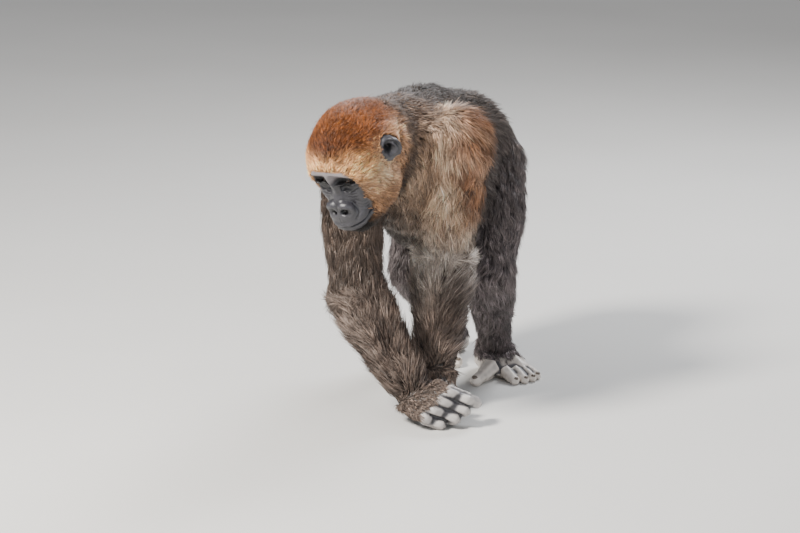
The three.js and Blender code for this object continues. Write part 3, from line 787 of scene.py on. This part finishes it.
# markings: one set of colours for the skin and the coat
coatColours = {
    "rust": (134, 72, 16), "darkRust": (84, 43, 12), "tan": (238, 172, 104), "temple": (230, 166, 112),
    "cheek": (172, 124, 82), "paleCheek": (246, 198, 152), "throat": (30, 23, 19), "nape": (104, 88, 76),
    # flank: a near-black that stands for the side of the trunk in deep shade, painted shade
    "back": (66, 63, 62), "flank": (20, 15, 13), "rump": (106, 92, 82), "shoulder": (224, 190, 158),
    "shoulderRust": (150, 100, 64), "armShade": (50, 38, 32), "arm": (114, 97, 86), "elbow": (216, 200, 186),
    "leg": (120, 109, 109), "face": (44, 43, 48), "brow": (126, 119, 120), "hand": (92, 90, 92),
    # valley: the dark of the hollows between the knuckle pads, painted shade
    "knuckle": (154, 149, 146), "valley": (40, 38, 42), "foot": (200, 191, 182),
}
tints = {name: linear(*colour) for name, colour in coatColours.items()}
furEdge = {"hand": -15, "foot": 80, "footTop": 44}  # mm past the knuckles, from the ankle, above the floor
sunSide = {"left": 1, "right": 0.06}  # how much of the paler hair each arm shows; the dark in its place is painted shade, nearly all of the right arm, as if the head shaded it


limbs = {"upper_arm": "forearm", "forearm": "hand", "thigh": "shank", "shank": "foot"}
limbTips = (("hand", "thumb", "forearm", "arm"), ("foot", "great_toe", "shank", "leg"))


def middleOf(name):
    return solidAxes(name)[1]


# unit vector along a limb, toward the part beyond it
def limbAxis(name, beyond):
    _, centre, turn = solidAxes(name)
    return turn[0] if turn[0] @ (middleOf(beyond) - centre) > 0 else -turn[0]


def limbEnd(name, beyond):
    points, centre, _ = solidAxes(name)
    axis = limbAxis(name, beyond)
    return centre + axis * ((points - centre) @ axis).max()


# 0 at a limb's top and 1 at its far end
def alongLimb(name, beyond, points):
    axis = limbAxis(name, beyond)
    reach = solidAxes(name)[0] @ axis
    return (points @ axis - reach.min()) / (reach.max() - reach.min())


# rusty crown, tan brow edge and temples, speckled cheeks that darken into the throat
def headMarks(local, points):
    x, y, z = local[:, 0], local[:, 1], local[:, 2]
    speck = ripple(points, 9, 3)
    darkPatch = smoothStep(46, 18, np.hypot(x * 0.6, z - 74)) * smoothStep(80, 30, y)
    temples = smoothStep(20, 60, y) * smoothStep(64, 30, z) * smoothStep(20, 50, np.abs(x))
    crown = blend(tints["rust"], tints["darkRust"], darkPatch)
    crown = blend(crown, tints["temple"], temples)
    crown = blend(crown, tints["tan"], smoothStep(72, 56, z) * smoothStep(50, 20, y))
    cheek = blend(tints["cheek"], tints["paleCheek"], spot(z, y, (-6, 56), (30, 50)))
    cheek = blend(cheek, tints["throat"], smoothStep(0.3, 1.4, speck) * smoothStep(-20, -60, z) * 0.7)
    cheek = blend(cheek, tints["throat"], smoothStep(-84, -118, z + 0.25 * y))
    return blend(cheek, crown, smoothStep(-8, 30, z + 0.10 * y + 4 * speck))


# which way the hair of the head lies: back over the crown, down the cheeks, back under the throat
def headLie(local):
    x, y, z = local[:, 0], local[:, 1], local[:, 2]
    full = np.full(len(local), 1.0)
    crown = unit(np.stack([x * 0.006, full, full * 0.1], 1))
    cheek = unit(np.stack([np.sign(x) * 0.3, full * 0.55, full * -0.8], 1))
    throat = unit(np.stack([x * 0.004, full, full * -0.35], 1))
    lie = blend(cheek, crown, smoothStep(-20, 30, z + 0.2 * y))
    return blend(lie, throat, smoothStep(-110, -140, z)) @ faceTurn.T


# cream on the front of the shoulder, rusty behind, paler at the elbow, with dark locks and painted shade
# along the rear edge; where the pale hair is not shown the arm gets the darker arm tint, painted shade
def upperArmTint(shown, turned, along, lock, patch):
    rusty = smoothStep(-0.9, 0.6, turned + 0.3 * patch + 0.5 * lock) * smoothStep(0.9, 0.5, along)
    pale = blend(tints["shoulder"], tints["shoulderRust"], rusty)
    pale = blend(pale, tints["elbow"], smoothStep(0.5, 0.85, along) * 0.8)
    pale = blend(pale, tints["armShade"], 0.85 * smoothStep(0.35, 1.3, lock))
    # painted shade: the rear edge, turned toward the flank, takes the flank's shade colour
    pale = blend(pale, tints["flank"], 0.9 * smoothStep(0.74, 0.96, turned + 0.08 * lock))
    return blend(blend(tints["arm"], tints["armShade"], 0.5 + 0.4 * smoothStep(-0.4, 1, lock)), pale, shown)


def forearmTint(shown, turned, along, lock, patch, shaded):
    tint = blend(tints["arm"], tints["elbow"], shown * smoothStep(0.66, 0.1, along + 0.08 * patch))
    tint = blend(tint, tints["armShade"], np.clip(0.65 * smoothStep(0, 1.1, lock) + 0.35 * shaded, 0, 1))
    return blend(tint, tints["armShade"], 0.6 * smoothStep(0.55, 0.95, turned))


# the coat's colour, lie, length and presence at each point of the skin
def markSkin(mesh):
    points, edges = meshArrays(mesh)
    near = Neighbours(len(points), edges)
    normals = pointNormals(mesh)
    owner = ownersOf(points)
    part = plainParts[owner]
    local = toFace(points)
    x, y, z = local[:, 0], local[:, 1], local[:, 2]
    count = len(points)
    colour, flow = np.zeros((count, 3)), np.zeros((count, 3))
    reach, hair = np.ones(count), np.ones(count)
    trunkAxis = unit((middleOf("pelvis") - middleOf("neck"))[None])[0]
    down = np.array([0, 0, -1.0])
    patch = ripple(points, 90, 5)
    streak = ripple(points, 26, 6)

    # a random field stretched along an axis, as locks of hair are
    def drawnOut(axis):
        return ripple(points - np.outer(points @ axis, axis) * 0.8, 30, 31)

    for name, tint in {"neck": "nape", "chest": "back", "belly": "flank", "pelvis": "rump"}.items():
        here = part == name
        # painted shade: each trunk part darkens toward the flank colour where its skin faces down, and the
        # belly's own tint is that painted shade
        base = blend(tints[tint], tints["flank"], smoothStep(0.25, -0.35, normals[:, 2] + 0.15 * patch))
        colour[here] = base[here]
        flow[here] = trunkAxis * 0.9 + down * (0.35 if name == "neck" else 0.75)
    for side, sign in sides:  # the shoulder's marks run on over the chest beside it
        upper, lower = f"upper_arm_{side}", f"forearm_{side}"
        top = middleOf(upper) * 2 - limbEnd(upper, lower)
        axis = limbAxis(upper, lower)
        lock = drawnOut(axis)
        beside = smoothStep(0.24, 0.15, np.linalg.norm(points - top, axis=1)) * (part == "chest")
        beside *= smoothStep(-0.05, 0.4, normals[:, 0] * sign - 0.3 * normals[:, 1])
        beside *= smoothStep(0.8, 0.5, normals[:, 2])
        beside *= smoothStep(0.05, -0.03, points[:, 1] - top[1])
        mark = blend(tints["shoulder"], tints["shoulderRust"], 0.7 * smoothStep(-0.3, 1.3, lock + patch))
        colour = blend(colour, blend(mark, tints["armShade"], 0.7 * smoothStep(0.6, 1.4, lock)), beside)
        flow = blend(flow, axis, beside)
    isHead = part == "head"
    upNeck = (part == "neck") * smoothStep(216, 182, y + 0.25 * np.abs(x)) * smoothStep(-110, -70, z)
    colour = blend(colour, headMarks(local, points), np.where(isHead, 1.0, upNeck))
    flow = blend(flow, headLie(local), isHead * 1.0)
    for side, sign in sides:
        for name, beyond in limbs.items():
            here = owner == fleshParts.index(f"{name}_{side}")
            axis = limbAxis(f"{name}_{side}", f"{beyond}_{side}")
            along = alongLimb(f"{name}_{side}", f"{beyond}_{side}", points)
            # -1 on the inner front, 1 on the outer rear
            turned = 0.9 * normals[:, 0] * sign + 0.42 * normals[:, 1]
            # the share of pale hair that shows: full on the left arm's outer side; the dark in its place on
            # the side that faces the body and on the right arm is painted shade
            shown = sunSide[side] * smoothStep(-0.95, -0.7, normals[:, 0] * sign)
            lock = drawnOut(axis)
            if name == "upper_arm":
                tint = upperArmTint(shown, turned, along, lock, patch)
                # over the shoulder the hair comes down from the back and turns along the arm
                sweep = np.array([0.04 * sign, 0.3, -0.9])
                axis = blend(np.tile(sweep, (count, 1)), axis, smoothStep(0.05, 0.4, along))
            elif name == "forearm":
                tint = forearmTint(shown, turned, along, lock, patch, 1 - sunSide[side])
                axis = -axis + np.array([0, 0.55, -0.1])  # swept back toward the elbow
            else:
                tint = blend(tints["leg"], tints["flank"], 0.6 * smoothStep(0.1, 1.1, lock))
            colour[here] = tint[here]
            flow[here] = axis[here] if axis.ndim == 2 else axis
        for name, digit, limb, tint in limbTips:
            here = np.isin(owner, [fleshParts.index(f"{solid}_{side}") for solid in (name, digit)])
            end = limbEnd(f"{limb}_{side}", f"{name}_{side}")
            height = points[:, 2] / mm
            if name == "foot":
                past = np.linalg.norm(points - end, axis=1) / mm - furEdge["foot"]
                fur = smoothStep(5, -5, past + 5 * streak)
                fur = fur * smoothStep(-6, 6, height - furEdge["footTop"] + 4 * streak) * (part != digit)
            else:
                past = handPlane(side, sign, points)[1] - furEdge["hand"]
                fur = smoothStep(5, -5, past + 4 * streak) * smoothStep(6, 14, height)
            hair[here] = fur[here]
            reach[here] = 0.5
            colour[here] = tints[tint]
            ahead = middleOf(f"{name}_{side}") - end
            flow[here] = ahead / np.linalg.norm(ahead) + 0.2 * down
    colour[part == "ear"] = tints["cheek"]
    hair[part == "ear"] = 0
    # on the trunk and the thighs one tint runs slowly into the next
    trunkShare = near.within(part, ["chest", "belly", "pelvis", "thigh"], 10)
    colour = blend(near.smooth(colour, 4), near.smooth(colour, 150), trunkShare)
    flow = unit(alongSurface(near.smooth(flow, 6), normals))
    earReach = earRound(points)
    hair = np.where(isHead, 1 - bareFace(local), hair) * smoothStep(1.04, 1.16, earReach)
    # short hair round the face and the ears
    reach = np.where(isHead, 0.45 + 0.55 * (1 - bareFace(local, 18)), near.smooth(reach, 10))
    reach *= 0.35 + 0.65 * smoothStep(1.1, 2.3, earReach)
    return {"points": points, "normals": normals, "owner": owner, "part": part, "local": local,
            "reach": reach, "colour": colour, "flow": flow, "hair": hair, "near": near}


marks = markSkin(skinMesh)
report("markings")


def storeTone(mesh, name, colours):
    layer = mesh.color_attributes.new(name, "FLOAT_COLOR", "POINT")
    flat = np.ones((len(colours), 4), np.float32)
    flat[:, :3] = colours
    layer.data.foreach_set("color", flat.ravel())


# 1 near a place in the head's frame and 0 beyond, with the distances along x, y and z weighed
def darkSpot(local, centre, weights, outer, inner):
    return smoothStep(outer, inner, np.linalg.norm((local - np.array(centre)) * np.array(weights), axis=1))


def colourSkin(mesh):
    part, local, near = marks["part"], marks["local"], marks["near"]
    points, normals = marks["points"], marks["normals"]
    # painted highlight on the ridges and painted shade in the creases; the broad rises of the hands and feet
    # are also paler as worn
    ridge = near.smooth(np.clip(near.relief(points, normals, 3) / 0.35, -1, 1), 1)
    broad = near.smooth(np.clip(near.relief(points, normals, 24) / 1.2, -1, 1), 2)
    face = tints["face"] * (1 + 0.4 * ridge)[:, None]
    browEdge = smoothStep(8, 26, local[:, 2]) * smoothStep(12, 0, local[:, 1])
    face = blend(face, tints["brow"], browEdge * 0.8)
    # paler on broad rises, partly wear and partly painted light, and darker in broad hollows, painted shade
    wearAndShade = np.clip(0.5 + 0.5 * broad + 0.06 * ripple(points, 14, 8), 0, 1)
    for side, sign in sides:
        _, pad, valley = fingerForms(side, sign, points)
        # the pads paler, worn and painted light; the valleys between them and the creases between the fingers
        # darker, painted shade
        wearAndShade = np.clip(wearAndShade + (part == "hand") * (0.45 * pad - 0.65 * valley), 0, 1)
    hand = blend(tints["valley"], tints["hand"], smoothStep(0.1, 0.5, wearAndShade))
    hand = blend(hand, tints["knuckle"], smoothStep(0.6, 0.95, wearAndShade))
    foot = blend(tints["hand"], tints["foot"], smoothStep(0.2, 0.6, wearAndShade))
    hand = blend(hand, foot, np.isin(part, ["foot", "great_toe"]) * 1.0)
    # painted highlight and shade from the fine ridges
    hand *= (1 + 0.25 * ridge)[:, None]
    tone = marks["colour"] * 0.3  # under the coat: dark skin, partly its own colour and partly painted shade in the gaps between tufts
    bare = bareFace(local) * (part == "head")
    tone = blend(tone, face, np.maximum(bare, smoothStep(1.12, 1.0, earRound(points))))
    tone = blend(tone, hand, near.within(part, handAndFoot, 3) * (1 - marks["hair"]))
    # painted shade: the sockets, the nostrils and the hollows of the ears are darkened
    for side, sign in sides:
        socket = darkSpot(local, eyeCentre(sign) + np.array([0, 0, 2]), (0.7, 0.5, 1.1), 29, 12)
        tone *= (1 - 0.75 * socket * smoothStep(26, 8, local[:, 2]))[:, None]
        x, y, z = nostril["place"]
        tone *= (1 - 0.9 * darkSpot(local, (x * sign, y + 6, z), (0.8, 0.5, 1.2), 10, 5))[:, None]
        u, v, w, _ = earPlane(side, sign, points)
        forward, up = earLook["opening"]
        hollow = np.hypot(u - forward, v - up) + np.where(np.abs(w) > 30, 99, 0)
        tone *= (1 - 0.85 * smoothStep(11, 5, hollow))[:, None]
    storeTone(mesh, "skinTone", np.clip(tone, 0.002, 1))


colourSkin(skinMesh)


def makeSkinMaterial():
    material, tree, links, shader = newMaterial("skin")
    coords = toneBase(tree, links, shader, "skinTone", {"Scale": 60, "Detail": 6}, 0.7, 1.3)
    cells = addNode(tree, "ShaderNodeTexVoronoi", {"Scale": 800}, feature="DISTANCE_TO_EDGE")
    wrinkles = addNode(tree, "ShaderNodeTexNoise", {"Scale": 190, "Detail": 5})
    lift = addNode(tree, "ShaderNodeMath", {1: 1.6}, operation="MULTIPLY_ADD")
    bump = addNode(tree, "ShaderNodeBump", {"Strength": 0.22, "Distance": 0.0008})
    wire(links, (coords, "Object", cells, "Vector"), (coords, "Object", wrinkles, "Vector"),
         (cells, "Distance", lift, 0), (wrinkles, "Fac", lift, 2), (lift, "Value", bump, "Height"),
         (bump, "Normal", shader, "Normal"))
    setInputs(shader, {"Roughness": 0.42, "Specular IOR Level": 0.62})
    return material


skinMesh.materials.clear()
skinMesh.materials.append(makeSkinMaterial())
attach(skin, "root")
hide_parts(*fleshParts)
report("skin", len(skinMesh.vertices), "points")


# eyes
def makeEye(side):
    bm = bmesh.new()
    bmesh.ops.create_uvsphere(bm, u_segments=48, v_segments=32, radius=eyeLook["radius"] * mm)
    pitch = Matrix.Rotation(math.radians(90), 3, "X")  # the pole becomes the pupil
    gaze = Matrix.Rotation(math.radians(-eyeLook["gazeUp"]), 3, "X")
    mesh = bpy.data.meshes.new(f"eye_{side}_ball")
    angles = []
    for point in bm.verts:
        direction = point.co.normalized()
        angle = math.degrees(direction.angle(Vector((0, 0, 1))))
        angles.append(angle / 90)
        bulge = eyeLook["cornea"] * max(0, 1 - (angle / 30) ** 2) * mm
        point.co = direction * (eyeLook["radius"] * mm + bulge)
    bm.to_mesh(mesh)
    bm.free()
    centre = boxMiddle(f"eye_{side}")
    mesh.transform(Matrix.Translation(centre) @ faceFrame.to_3x3().to_4x4() @ gaze.to_4x4() @ pitch.to_4x4())
    layer = mesh.attributes.new("fromPupil", "FLOAT", "POINT")
    layer.data.foreach_set("value", angles)
    shadeSmooth(mesh)
    return addObject(f"eyeball_{side}", mesh)


# from the middle of the pupil (0) to 90 degrees from it (1): pupil, iris, dark rim, then the brown white
eyeRings = [
    (0.0, (0.004, 0.003, 0.003)), (0.10, (0.004, 0.003, 0.003)), (0.15, (0.035, 0.015, 0.007)),
    (0.26, (0.075, 0.03, 0.012)), (0.32, (0.012, 0.008, 0.006)), (0.36, (0.035, 0.022, 0.016)),
    (0.7, (0.06, 0.04, 0.03)),
]


def makeEyeMaterial():
    material, tree, links, shader = newMaterial("eye")
    angle = addNode(tree, "ShaderNodeAttribute", attribute_name="fromPupil")
    ramp = tree.new("ShaderNodeValToRGB")
    rings = ramp.color_ramp.elements
    rings.remove(rings[1])
    rings[0].position = eyeRings[0][0]
    rings[0].color = (*eyeRings[0][1], 1)
    for place, tint in eyeRings[1:]:
        rings.new(place).color = (*tint, 1)
    wire(links, (angle, "Fac", ramp, "Fac"), (ramp, "Color", shader, "Base Color"))
    setInputs(shader, {"Roughness": 0.07})
    return material


eyeMaterial = makeEyeMaterial()
for side, _ in sides:
    ball = makeEye(side)
    ball.data.materials.append(eyeMaterial)
    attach(ball, "root")
    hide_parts(f"eye_{side}")


# nails
nailLook = {"smooth": 2, "proud": 1.5}  # rounds of smoothing; mm that each plate gains before them
digits = ("thumb", "index_finger", "middle_finger", "ring_finger", "little_finger",
          "great_toe", "second_toe", "third_toe", "fourth_toe", "fifth_toe")
nailNames = [f"nail_{digit}_{side}" for side, _ in sides for digit in digits]


def makeNails():
    thing = gatherSolids("nail_plates", nailNames, nailLook["proud"] * mm, 0)
    soften = thing.modifiers.new("soften", "SUBSURF")
    soften.levels = soften.render_levels = nailLook["smooth"]
    result = settle(thing, "nails")
    shadeSmooth(result)
    return addObject("nails", result)


def makeNailMaterial():
    material, tree, links, shader = newMaterial("nail")
    mottledBase(tree, links, shader, 160, linear(66, 58, 52), linear(136, 122, 108))
    setInputs(shader, {"Roughness": 0.3})
    return material


nails = makeNails()
nails.data.materials.append(makeNailMaterial())
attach(nails, "root")
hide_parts(*nailNames)
report("nails")


# coat: closed tapered tufts that follow the lie of the hair
# mm, mm, tufts to a square centimetre, degrees that roots and tips stand up and tufts stray, tufts to a lock
coatFields = ("length", "width", "count", "rootLift", "tipLift", "stray", "lock", "slot")
coatLook = {name: dict(zip(coatFields, row)) for name, row in {
    "head": (15, 1.25, 50, 36, 14, 13, 6, "crown_coat"),
    "neck": (28, 1.9, 17, 34, 8, 13, 7, "back_coat"),
    "chest": (34, 2.3, 11, 32, 6, 12, 7, "back_coat"),
    "belly": (36, 2.3, 10, 32, 6, 13, 7, "flank_coat"),
    "pelvis": (34, 2.2, 11, 32, 6, 12, 7, "flank_coat"),
    "upper_arm": (46, 1.8, 16.5, 29, 3, 12, 10, "arm_coat"),
    "forearm": (44, 1.8, 17, 33, 7, 13, 9, "arm_coat"),
    "hand": (26, 1.5, 30, 28, 4, 12, 6, "arm_coat"),
    "thigh": (38, 2.2, 11, 32, 6, 13, 8, "leg_coat"),
    "shank": (32, 1.9, 14, 32, 6, 13, 8, "leg_coat"),
    "foot": (26, 1.7, 22, 28, 4, 12, 6, "leg_coat"),
}.items()}
tuftLook = {
    "most": 33000,  # in one piece
    "bend": (0.34, 0.66),  # shares of the length below and above the belly of a tuft
    "gather": (0.25, 0.75),  # how much of a lock's pull each share takes
    "pull": 0.6,  # of the way to the middle of the lock
    "tones": (0.25, 0.85, 1.55),  # root, belly and tip
    "past": 0.014,  # m that a tip may pass the solids' box
    "lowest": 0.4 * mm,  # above the floor
    "patch": 0.003,  # side of each tuft's patch of the UV map
    "buried": 1 * mm,  # depth of the root
    "ridge": 0.4,  # of its width that the belly rises
    # spread of the length, the width and the lift, of the tip's lift in degrees, and of greyness
    "uneven": {"length": 0.22, "width": 0.2, "lift": 0.2, "tip": 4, "grey": 0.3},
    "sway": (0.7, 0.5), "shade": (0.3, 0.22),  # spread from lock to lock and from tuft to tuft
}
_, skinTriangles, skinAreas = triangleTable(skinMesh)


def meshFrom(name, points, triangles, tones):
    mesh = bpy.data.meshes.new(name)
    mesh.vertices.add(len(points))
    mesh.vertices.foreach_set("co", points.astype(np.float32).ravel())
    mesh.loops.add(triangles.size)
    mesh.loops.foreach_set("vertex_index", triangles.astype(np.int32).ravel())
    mesh.polygons.add(len(triangles))
    mesh.polygons.foreach_set("loop_start", np.arange(0, triangles.size, 3, dtype=np.int32))
    mesh.polygons.foreach_set("use_smooth", np.ones(len(triangles), bool))
    mesh.update()
    mesh.validate()
    storeTone(mesh, "coatTone", np.clip(tones, 0.001, 1))
    return mesh


# round the part's long axis one way and along it the other, or round the head like a globe
def unwrapFor(nodeName, roots):
    _, centre, (axis, right, ahead) = solidAxes(nodeName)
    away = roots - centre
    around = np.arctan2(away @ right, away @ ahead) / (2 * math.pi) + 0.5
    if nodeName in ("head", "belly"):
        up = np.degrees(np.arcsin(np.clip(unit(away) @ axis, -1, 1))) / 180 + 0.5
    else:
        up = away @ axis
    up = (up - up.min()) / max(up.max() - up.min(), 1e-9)
    around = (around - around.min()) / max(around.max() - around.min(), 1e-9)
    return np.stack([around, up], 1) * (1 - 2 * tuftLook["patch"]) + tuftLook["patch"] / 2


# which triangles of the skin the tufts stand on, and where in each
def plantTufts(draw, nodeName, half, perSquareCentimetre):
    first = skinTriangles[:, 0]
    mine = marks["owner"][first] == fleshParts.index(nodeName)
    if half:
        mine &= marks["local"][first, 0] * half > 0
    chance = skinAreas * mine * np.clip(marks["hair"][skinTriangles].mean(1), 0, 1)
    wanted = min(int(chance.sum() * 1e4 * perSquareCentimetre), tuftLook["most"])
    pick = draw.choice(len(chance), wanted, p=chance / chance.sum())
    u, v = spread(draw, wanted)
    return skinTriangles[pick], np.stack([1 - u - v, u, v], 1)


# half: 0 for the whole of a solid, 1 or -1 for its left or right half
def growCoat(name, nodeName, half, seed):
    look = coatLook[plainName(nodeName)]
    draw = np.random.default_rng(seed)
    corners, weights = plantTufts(draw, nodeName, half, look["count"])
    wanted = len(corners)

    def at(field):
        values = marks[field][corners]
        return (values * (weights[:, :, None] if values.ndim == 3 else weights)).sum(1)

    def aimed(angle, reach):
        return (lies * np.cos(angle)[:, None] + normals * np.sin(angle)[:, None]) * reach[:, None]

    roots, normals, colours, reach = at("points"), unit(at("normals")), at("colour"), at("reach")
    lies = unit(alongSurface(at("flow"), normals))
    # neighbouring tufts lean together toward the tip of the nearest lock
    locks = draw.choice(wanted, max(wanted // look["lock"], 2), replace=False)
    member = locks[nearest(treeOf(roots[locks]), roots)]
    uneven, (lockSway, tuftSway), (lockShade, tuftShade) = map(tuftLook.get, ("uneven", "sway", "shade"))
    wave = ripple(roots, 60, 21) * 0.9 + draw.normal(0, lockSway, wanted)[member]
    wave += draw.normal(0, tuftSway, wanted)
    turn = wave * math.radians(look["stray"])
    lies = lies * np.cos(turn)[:, None] + np.cross(normals, lies) * np.sin(turn)[:, None]
    across = np.cross(normals, lies)
    length = look["length"] * mm * (np.clip(draw.normal(1, uneven["length"], wanted), 0.45, 1.6) * reach)
    width = look["width"] * mm * np.clip(draw.normal(1, uneven["width"], wanted), 0.6, 1.4)
    lift = 1 + 0.22 * ripple(roots, 34, 22) + draw.normal(0, uneven["lift"], wanted)
    rootLift = np.radians(look["rootLift"] * np.clip(lift, 0.35, 1.6))
    tipLift = np.radians(look["tipLift"] * np.clip(lift, 0, 2) + draw.normal(0, uneven["tip"], wanted))
    pull = (roots[member] - roots) * tuftLook["pull"]
    (below, above), (pullBelow, pullAbove) = tuftLook["bend"], tuftLook["gather"]
    belly = roots + aimed(rootLift, length * below) + pull * pullBelow
    tip = belly + aimed(tipLift, length * above) + pull * pullAbove
    # each tuft: a buried root, a three-sided belly and a tip
    points = np.empty((wanted, 5, 3))
    points[:, 0] = roots - normals * tuftLook["buried"]
    points[:, 1] = belly - across * (width / 2)[:, None]
    points[:, 2] = belly + across * (width / 2)[:, None]
    points[:, 3] = belly + normals * (width * tuftLook["ridge"])[:, None]
    points[:, 4] = tip
    low, high = np.array(cadBox[0]) - tuftLook["past"], np.array(cadBox[1]) + tuftLook["past"]
    low[2] = tuftLook["lowest"]
    points = np.clip(points, low, high)
    pattern = np.array([(0, 1, 2), (0, 2, 3), (0, 3, 1), (4, 2, 1), (4, 3, 2), (4, 1, 3)])
    triangles = (pattern[None] + (np.arange(wanted) * 5)[:, None, None]).reshape(-1, 3)
    shade = draw.normal(0, tuftShade, wanted) + draw.normal(0, lockShade, wanted)[member]
    shade += 0.12 * ripple(roots, 16, 23)
    tone = colours * np.exp(shade)[:, None]
    tone = blend(tone, tone.mean(1)[:, None], draw.uniform(0, uneven["grey"], wanted))
    rootTone, bellyTone, tipTone = tuftLook["tones"]
    tones = tone[:, None] * np.array([rootTone, bellyTone, bellyTone, bellyTone, tipTone])[:, None]
    mesh = meshFrom(name, points.reshape(-1, 3), triangles, tones.reshape(-1, 3))
    patchUv = np.array([(0.5, 0), (0, 0.4), (1, 0.4), (0.5, 0.55), (0.5, 1)]) * tuftLook["patch"]
    uv = (unwrapFor(nodeName, roots)[:, None] + patchUv[None]).reshape(-1, 2)
    layer = mesh.uv_layers.new(name="OFBake")
    layer.data.foreach_set("uv", uv[triangles.ravel()].astype(np.float32).ravel())
    thing = addObject(name, mesh)
    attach(thing, "root")
    return thing, len(triangles)


def makeCoatMaterial():
    material, tree, links, shader = newMaterial("coat")
    toneBase(tree, links, shader, "coatTone", {"Scale": 260, "Detail": 3}, 0.72, 1.28)
    setInputs(shader, {"Roughness": 0.5, "Specular IOR Level": 0.4})
    return material


coatMaterial = makeCoatMaterial()
coatTotal = 0
coatPieces = [(f"coat_{name}", name, 0) for name in fleshParts[1:] if plainName(name) in coatLook]
coatPieces += [("coat_head_left", "head", 1), ("coat_head_right", "head", -1)]
for seed, (name, nodeName, half) in enumerate(coatPieces):
    thing, count = growCoat(name, nodeName, half, 40 + seed)
    thing.data.materials.append(coatMaterial)
    coatTotal += count
    print(name, count)
report("coat", coatTotal, "triangles")


# camera, light and floor
cameraLook = {
    "azimuth": 20, "elevation": 15, "distance": 9.0, "lens": 165.3, "sensor": 36, "clipEnd": 60,
    "standAt": (0.0266, 0.0458, 0.0),  # the ground point the lens is level with
    "aimRight": -0.098, "aimUp": 0.315,
}


def makeCamera():
    azimuth, elevation = math.radians(cameraLook["azimuth"]), math.radians(cameraLook["elevation"])
    level = math.cos(elevation)
    back = Vector((math.sin(azimuth) * level, -math.cos(azimuth) * level, math.sin(elevation)))
    right = Vector((math.cos(azimuth), math.sin(azimuth), 0))
    up = back.cross(right)
    stand = Vector(cameraLook["standAt"])
    camera = bpy.data.objects.new("camera", bpy.data.cameras.new("camera"))
    camera.data.lens = cameraLook["lens"]
    camera.data.sensor_width = cameraLook["sensor"]
    camera.data.clip_end = cameraLook["clipEnd"]
    camera.location = stand + back * cameraLook["distance"]
    aim = stand + right * cameraLook["aimRight"] + up * cameraLook["aimUp"]
    camera.rotation_euler = (aim - camera.location).to_track_quat("-Z", "Y").to_euler()
    bpy.context.scene.collection.objects.link(camera)
    bpy.context.scene.camera = camera


makeCamera()

lightLook = {
    "world": 0.42, "worldTint": (0.93, 0.95, 1.0), "target": (0, -0.1, 0.45),
    "key": {"place": (-1.5, -2.8, 3.4), "size": 1.0, "power": 460, "tint": (1.0, 0.96, 0.9)},
    "fill": {"place": (3.0, -2.4, 1.6), "size": 2.6, "power": 45, "tint": (0.92, 0.96, 1.0)},
    "rim": {"place": (0.6, 2.8, 3.0), "size": 1.6, "power": 150, "tint": (0.95, 0.97, 1.0)},
}


def makeLights():
    world = bpy.data.worlds.new("studio")
    bpy.context.scene.world = world
    world.use_nodes = True
    setInputs(world.node_tree.nodes["Background"],
              {"Color": (*lightLook["worldTint"], 1), "Strength": lightLook["world"]})
    target = Vector(lightLook["target"])
    for name in ("key", "fill", "rim"):
        look = lightLook[name]
        light = bpy.data.objects.new(name, bpy.data.lights.new(name, "AREA"))
        light.data.shape = "DISK"
        light.data.size = look["size"]
        light.data.energy = look["power"]
        light.data.color = look["tint"]
        light.location = look["place"]
        light.rotation_euler = (target - light.location).to_track_quat("-Z", "Y").to_euler()
        bpy.context.scene.collection.objects.link(light)


makeLights()


def makeFloor():
    bm = bmesh.new()
    bmesh.ops.create_grid(bm, x_segments=1, y_segments=1, size=14)
    mesh = bpy.data.meshes.new("floor")
    bm.to_mesh(mesh)
    bm.free()
    floor = addObject("floor", mesh)
    material, tree, links, shader = newMaterial("pale_floor")
    mottledBase(tree, links, shader, 1.4, (0.60, 0.59, 0.57), (0.66, 0.65, 0.63))
    setInputs(shader, {"Roughness": 0.9})
    floor.data.materials.append(material)


makeFloor()
report("studio")
